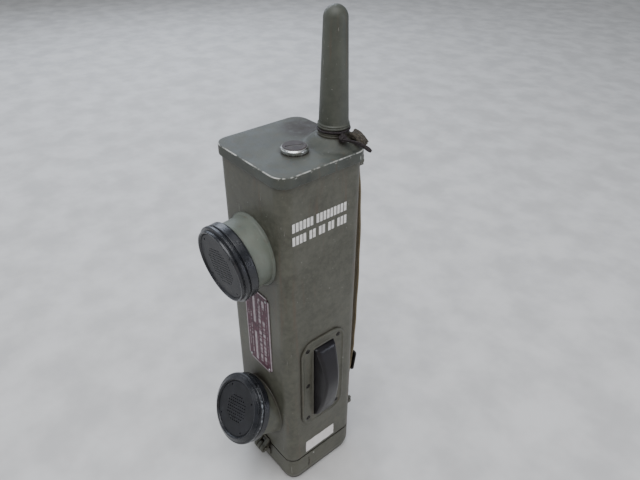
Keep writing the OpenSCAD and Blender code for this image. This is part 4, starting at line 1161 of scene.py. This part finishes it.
def build_hinge():
    """Three rounded knuckles on their pin, with the leaves that carry them on the case and the cover."""
    low, high = extent("case_hinge_leaf")
    leaf_low, _ = extent("cover_hinge_leaf")
    pin_low, pin_high = extent("hinge_pin")
    y, z = (pin_low[1] + pin_high[1]) / 2, (pin_low[2] + pin_high[2]) / 2
    radius, face = y - low[1], high[1]
    half, long = high[0], (high[0] - 0.4) / 1.5

    def knuckle(x0, x1):
        """One barrel with rounded ends."""
        ends = [(1.6, x0), (radius, x0, 1.0), (radius, x1, 1.0), (1.6, x1)]
        return turned(filleted(ends, 0.5), (0, y, z), (1, 0, 0), 48)

    def arm(x0, x1, y0, y1, z0, z1):
        """A block with softened edges."""
        return slab(box_ring(x1 - x0, y1 - y0, 0.5, 3), z0, z1,
                    lambda u, v, w: ((x0 + x1) / 2 + u, (y0 + y1) / 2 + v, w))

    fixed = []
    for x0 in (-half, long / 2 + 0.4):
        strap = [(y - 2, z + 3), (y + 2, z + 2), (face - 1, z + 5.5), (face - 1, z + 8.5),
                 (face - 1.6, z + 8.5)]
        fixed += [knuckle(x0, x0 + long), slab(strap, x0, x0 + long, lambda u, v, w: (w, u, v))]
    fixed.append(arm(-half, half, face - 1.5, face, z + 5.6, high[2]))
    leaf = make_mesh("hinge_case_leaf", *joined(fixed))
    round_edges(leaf, 0.4, 3, 50)
    fit(leaf, FINISHES["small"], "case", "olive_paint", "case_hinge_leaf", crease=50)
    moving = [knuckle(-long / 2, long / 2),
              arm(-long / 2, long / 2, y - 0.6, face - 0.1, leaf_low[2] + 4, z - 2.2),
              arm(-half, half, face - 1.2, face, leaf_low[2], z - 4)]
    leaf = make_mesh("hinge_cover_leaf", *joined(moving))
    round_edges(leaf, 0.4, 3, 50)
    fit(leaf, FINISHES["small"], "battery_cover", "olive_paint", "cover_hinge_leaf", crease=50)


def build_strap():
    """Webbing hand strap folded round its two bars, and its pressed buckle."""
    low, high = extent("strap_webbing")
    width = high[0] - low[0]
    bar_low, bar_high = extent("strap_loop_bottom")
    top_low, top_high = extent("strap_loop_top")
    bar_z, top_z = (bar_low[2] + bar_high[2]) / 2, (top_low[2] + top_high[2]) / 2
    bar_y = bar_high[1] - 2.6
    route = [(52.15, bar_z), (51.6, 58), (52.9, 72), (56.4, 96), (58, 120), (58.7, 155), (58.4, 200),
             (57, 242), (54.9, 275), (52.15, top_z)]
    line = smooth_path([(0, y, z) for y, z in route], 6)
    bend = 3.1
    foot = [Vector((0, bar_y + bend * math.cos(a), bar_z + bend * math.sin(a)))
            for a in [math.radians(-8 - 300 * k / 24) for k in range(24, -1, -1)]]
    head = [Vector((0, bar_y + bend * math.cos(a), top_z + bend * math.sin(a)))
            for a in [math.radians(8 + 300 * k / 24) for k in range(25)]]
    path = foot + line[1:-1] + head
    thick = 1.9
    rings = []
    for i, here in enumerate(path):
        run = (path[min(i + 1, len(path) - 1)] - path[max(i - 1, 0)]).normalized()
        out = Vector((0, run.z, -run.y))
        sway = 0.35 * math.sin(i * 0.21)
        section = box_ring(width + 0.5 * math.sin(i * 0.9) - 0.6, thick, thick * 0.46, 4)
        rings.append([here + Vector((u + sway, 0, 0)) + out * v for u, v in section])
    strap = make_mesh("webbing_strap", *skin(rings))
    fit(strap, FINISHES["webbing"], "case", "webbing", "strap_webbing", crease=70)
    b_low, b_high = extent("strap_buckle")
    low_point, high_point = Vector((0, *route[2])), Vector((0, *route[3]))
    run = (high_point - low_point).normalized()
    out = Vector((0, run.z, -run.y))
    seat = low_point.lerp(high_point, 0.5) + out * 1.6
    wide, tall, thick = b_high[0] - b_low[0], 22, 2.2
    frame_part = make_mesh("buckle_frame", *slab(box_ring(wide, tall, 2.5, 6), 0, thick, lambda u, v, w: (
        seat + Vector((u, 0, 0)) + run * v + out * w)))
    holes = [slab(box_ring(wide - 7, tall / 2 - 6, 1.2, 4), -2, thick + 2, lambda u, v, w, s=s: (
        seat + Vector((u, 0, 0)) + run * (s * (tall / 4 - 0.4) + v) + out * w)) for s in (-1, 1)]
    subtract(frame_part, make_mesh("buckle_slots", *joined(holes)))
    round_edges(frame_part, 0.75, 4, 40)
    fit(frame_part, FINISHES["iron"], "case", "dark_iron", "strap_buckle", crease=60)


CARRIED = {
    "case": ["catch_bracket", "catch_lever", "strap_loop_top", "strap_loop_bottom"],
    "small": ["hinge_pin"],
    "steel": ["catch_stud", "aerial_outer_tube", "aerial_section_1", "aerial_section_2",
              "aerial_section_3", "aerial_tip_rod", "talk_plunger"],
    "rubber": ["top_gasket", "cover_gasket", "housing_gaskets", "boot_flange", "audio_leads"],
    "aluminium": ["earphone_element", "microphone_element", "chassis_plate", "chassis_top_plate",
                  "if_transformers"],
    "laminate": ["talk_switch", "power_switch", "aerial_insulator", "valve_sockets", "battery_contact_board"],
    "brass": ["switch_slider", "power_slider", "battery_springs"],
    "bakelite": ["crystals"],
    "glass": ["valves"],
    "copper": ["coil_formers"],
    "iron": ["audio_transformers"],
    "wax": ["small_components"],
    "card": ["long_battery", "round_battery"],
}


# ---- operators ----

class RADIO_OT_camera(bpy.types.Operator):
    """Sets the camera up"""
    bl_idname = "radio.camera"
    bl_label = "Camera"

    def execute(self, context):
        view = context.scene.radio_view
        back = Vector((math.sin(view.azimuth) * math.cos(view.elevation),
                       -math.cos(view.azimuth) * math.cos(view.elevation), math.sin(view.elevation)))
        right = Vector((math.cos(view.azimuth), math.sin(view.azimuth), 0))
        up = back.cross(right)
        level_right = math.cos(view.roll) * right + math.sin(view.roll) * up
        level_up = math.cos(view.roll) * up - math.sin(view.roll) * right
        turn = Matrix((level_right, level_up, back)).transposed().to_4x4()
        turn.translation = Vector(view.place)
        data = bpy.data.cameras.new("camera")
        data.sensor_width = 36
        data.lens = view.lens
        data.clip_start = 0.01
        data.clip_end = 20
        camera = bpy.data.objects.new("camera", data)
        context.scene.collection.objects.link(camera)
        camera.matrix_world = turn
        context.scene.camera = camera
        return {"FINISHED"}


class RADIO_OT_finishes(bpy.types.Operator):
    """Makes the finishes and gives the carried-over CAD pieces theirs"""
    bl_idname = "radio.finishes"
    bl_label = "Finishes"

    def execute(self, context):
        make_finishes(context)
        for finish, nodes in CARRIED.items():
            for node in nodes:
                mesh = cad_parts[node].data
                mesh.materials.clear()
                mesh.materials.append(FINISHES[finish])
        return {"FINISHED"}


class RADIO_OT_case(bpy.types.Operator):
    """Builds the case tube, its painted blocks, the lid and the screw plug"""
    bl_idname = "radio.case"
    bl_label = "Case and lid"

    def execute(self, context):
        build_case(context.scene.radio_sizes)
        build_stencil()
        build_lid(context.scene.radio_sizes)
        build_plug()
        return {"FINISHED"}


class RADIO_OT_cups(bpy.types.Operator):
    """Builds the earpiece and the mouthpiece: necks, screwed caps and perforated faces"""
    bl_idname = "radio.cups"
    bl_label = "Earpiece and mouthpiece"

    def execute(self, context):
        s = context.scene.radio_sizes
        fillet = s.neck_fillet / MM
        build_cup("ear_cup", "earpiece_housing", s.ear_rim, s.ear_tilt, s.ear_neck / MM, 22.5, 25.4, fillet,
                  FINISHES["ear_cup"])
        build_cup("mouth_cup", "mouthpiece_housing", s.mouth_rim, s.mouth_tilt, s.mouth_neck / MM, 21.5, 24.0,
                  1.0, FINISHES["cup"])
        build_cap("ear_cap", "earpiece_cap", s.ear_rim, s.ear_tilt, 4.4, 2.2, 0.62, 15,
                  FINISHES["ear"])
        build_cap("mouth_cap", "mouthpiece_cap", s.mouth_rim, s.mouth_tilt, 6.6, 2.6, 0.78, 12.5,
                  FINISHES["mouth"])
        return {"FINISHED"}


class RADIO_OT_plates(bpy.types.Operator):
    """Builds the data plate, its rivets and the paper label"""
    bl_idname = "radio.plates"
    bl_label = "Plates"

    def execute(self, context):
        build_plates()
        return {"FINISHED"}


class RADIO_OT_talk_button(bpy.types.Operator):
    """Builds the talk button, its escutcheon and screws"""
    bl_idname = "radio.talk_button"
    bl_label = "Talk button"

    def execute(self, context):
        build_talk_button()
        return {"FINISHED"}


class RADIO_OT_aerial(bpy.types.Operator):
    """Builds the aerial's cap, socket, seal and leather tie"""
    bl_idname = "radio.aerial"
    bl_label = "Aerial"

    def execute(self, context):
        build_aerial()
        build_tie()
        return {"FINISHED"}


class RADIO_OT_battery_cover(bpy.types.Operator):
    """Builds the battery cover and its hinge"""
    bl_idname = "radio.battery_cover"
    bl_label = "Battery cover"

    def execute(self, context):
        build_battery_cover(context.scene.radio_sizes)
        build_hinge()
        return {"FINISHED"}


class RADIO_OT_strap(bpy.types.Operator):
    """Builds the webbing strap and its buckle"""
    bl_idname = "radio.strap"
    bl_label = "Strap"

    def execute(self, context):
        build_strap()
        return {"FINISHED"}


class RADIO_OT_stage(bpy.types.Operator):
    """Lays the floor and sets the studio lights"""
    bl_idname = "radio.stage"
    bl_label = "Stage"

    def execute(self, context):
        half = 4000
        floor = make_mesh("floor", [(-half, -half, 0), (half, -half, 0), (half, half, 0), (-half, half, 0)],
                          [(0, 1, 2, 3)])
        finish, tree, shader, place = new_finish("matt_floor", 0.7)
        tint = mixed(tree, patches(tree, place, 60, 0.3, 0.7), linear(context.scene.radio_colours.floor),
                     linear("D3D1CE"))
        tree.links.new(tint, shader.inputs["Base Color"])
        floor.data.materials.append(finish)
        world = bpy.data.worlds.new("studio")
        context.scene.world = world
        world.use_nodes = True
        sky = world.node_tree.nodes["Background"]
        sky.inputs["Color"].default_value = linear("DDE2E8")
        sky.inputs["Strength"].default_value = 0.4
        lamps = (("overhead", (0.25, -0.4, 1.6), (0, 0, 0.2), 1.1, 18.5, "F6F7FA"),
                 ("behind left", (-1.5, 0.6, 1.2), (0, 0, 0.25), 1.2, 17, "E4EEFF"),
                 ("front left", (-1.2, -1.0, 0.7), (0, 0, 0.2), 0.9, 3, "F4F7FF"),
                 ("right", (1.4, -0.3, 0.6), (0, 0, 0.15), 0.9, 1.5, "FFEBD2"),
                 ("behind right", (1.2, 0.85, 0.45), (0, 0, 0.15), 0.4, 4.2, "E4EAFA"))
        for name, place_at, aim, size, power, colour in lamps:
            lamp = bpy.data.lights.new(name, "AREA")
            lamp.size = size
            lamp.energy = power
            lamp.color = linear(colour)[:3]
            obj = bpy.data.objects.new(name, lamp)
            context.scene.collection.objects.link(obj)
            obj.location = place_at
            obj.rotation_euler = (Vector(aim) - Vector(place_at)).to_track_quat("-Z", "Y").to_euler()
        return {"FINISHED"}


OPERATORS = (RADIO_OT_camera, RADIO_OT_finishes, RADIO_OT_case, RADIO_OT_cups, RADIO_OT_plates,
             RADIO_OT_talk_button, RADIO_OT_aerial, RADIO_OT_battery_cover, RADIO_OT_strap, RADIO_OT_stage)
GROUPS = {"radio_view": RadioView, "radio_sizes": RadioSizes, "radio_colours": RadioColours}


class RADIO_PT_sidebar(bpy.types.Panel):
    """Lists the steps in order"""
    bl_idname = "RADIO_PT_sidebar"
    bl_label = "Field radio"
    bl_space_type = "VIEW_3D"
    bl_region_type = "UI"
    bl_category = "Radio"

    def draw(self, context):
        for step in OPERATORS:
            self.layout.operator(step.bl_idname)
        for group in GROUPS:
            settings = getattr(context.scene, group)
            for prop in settings.bl_rna.properties:
                if prop.identifier not in ("rna_type", "name"):
                    self.layout.prop(settings, prop.identifier)


def register():
    for cls in (*GROUPS.values(), *OPERATORS, RADIO_PT_sidebar):
        bpy.utils.register_class(cls)
    for name, group in GROUPS.items():
        setattr(bpy.types.Scene, name, PointerProperty(type=group))


def unregister():
    for name in GROUPS:
        delattr(bpy.types.Scene, name)
    for cls in reversed((*GROUPS.values(), *OPERATORS, RADIO_PT_sidebar)):
        bpy.utils.unregister_class(cls)


def main():
    register()
    for step in (bpy.ops.radio.camera, bpy.ops.radio.finishes, bpy.ops.radio.case, bpy.ops.radio.cups,
                 bpy.ops.radio.plates, bpy.ops.radio.talk_button, bpy.ops.radio.aerial,
                 bpy.ops.radio.battery_cover, bpy.ops.radio.strap, bpy.ops.radio.stage):
        step()


if __name__ == "__main__":
    main()
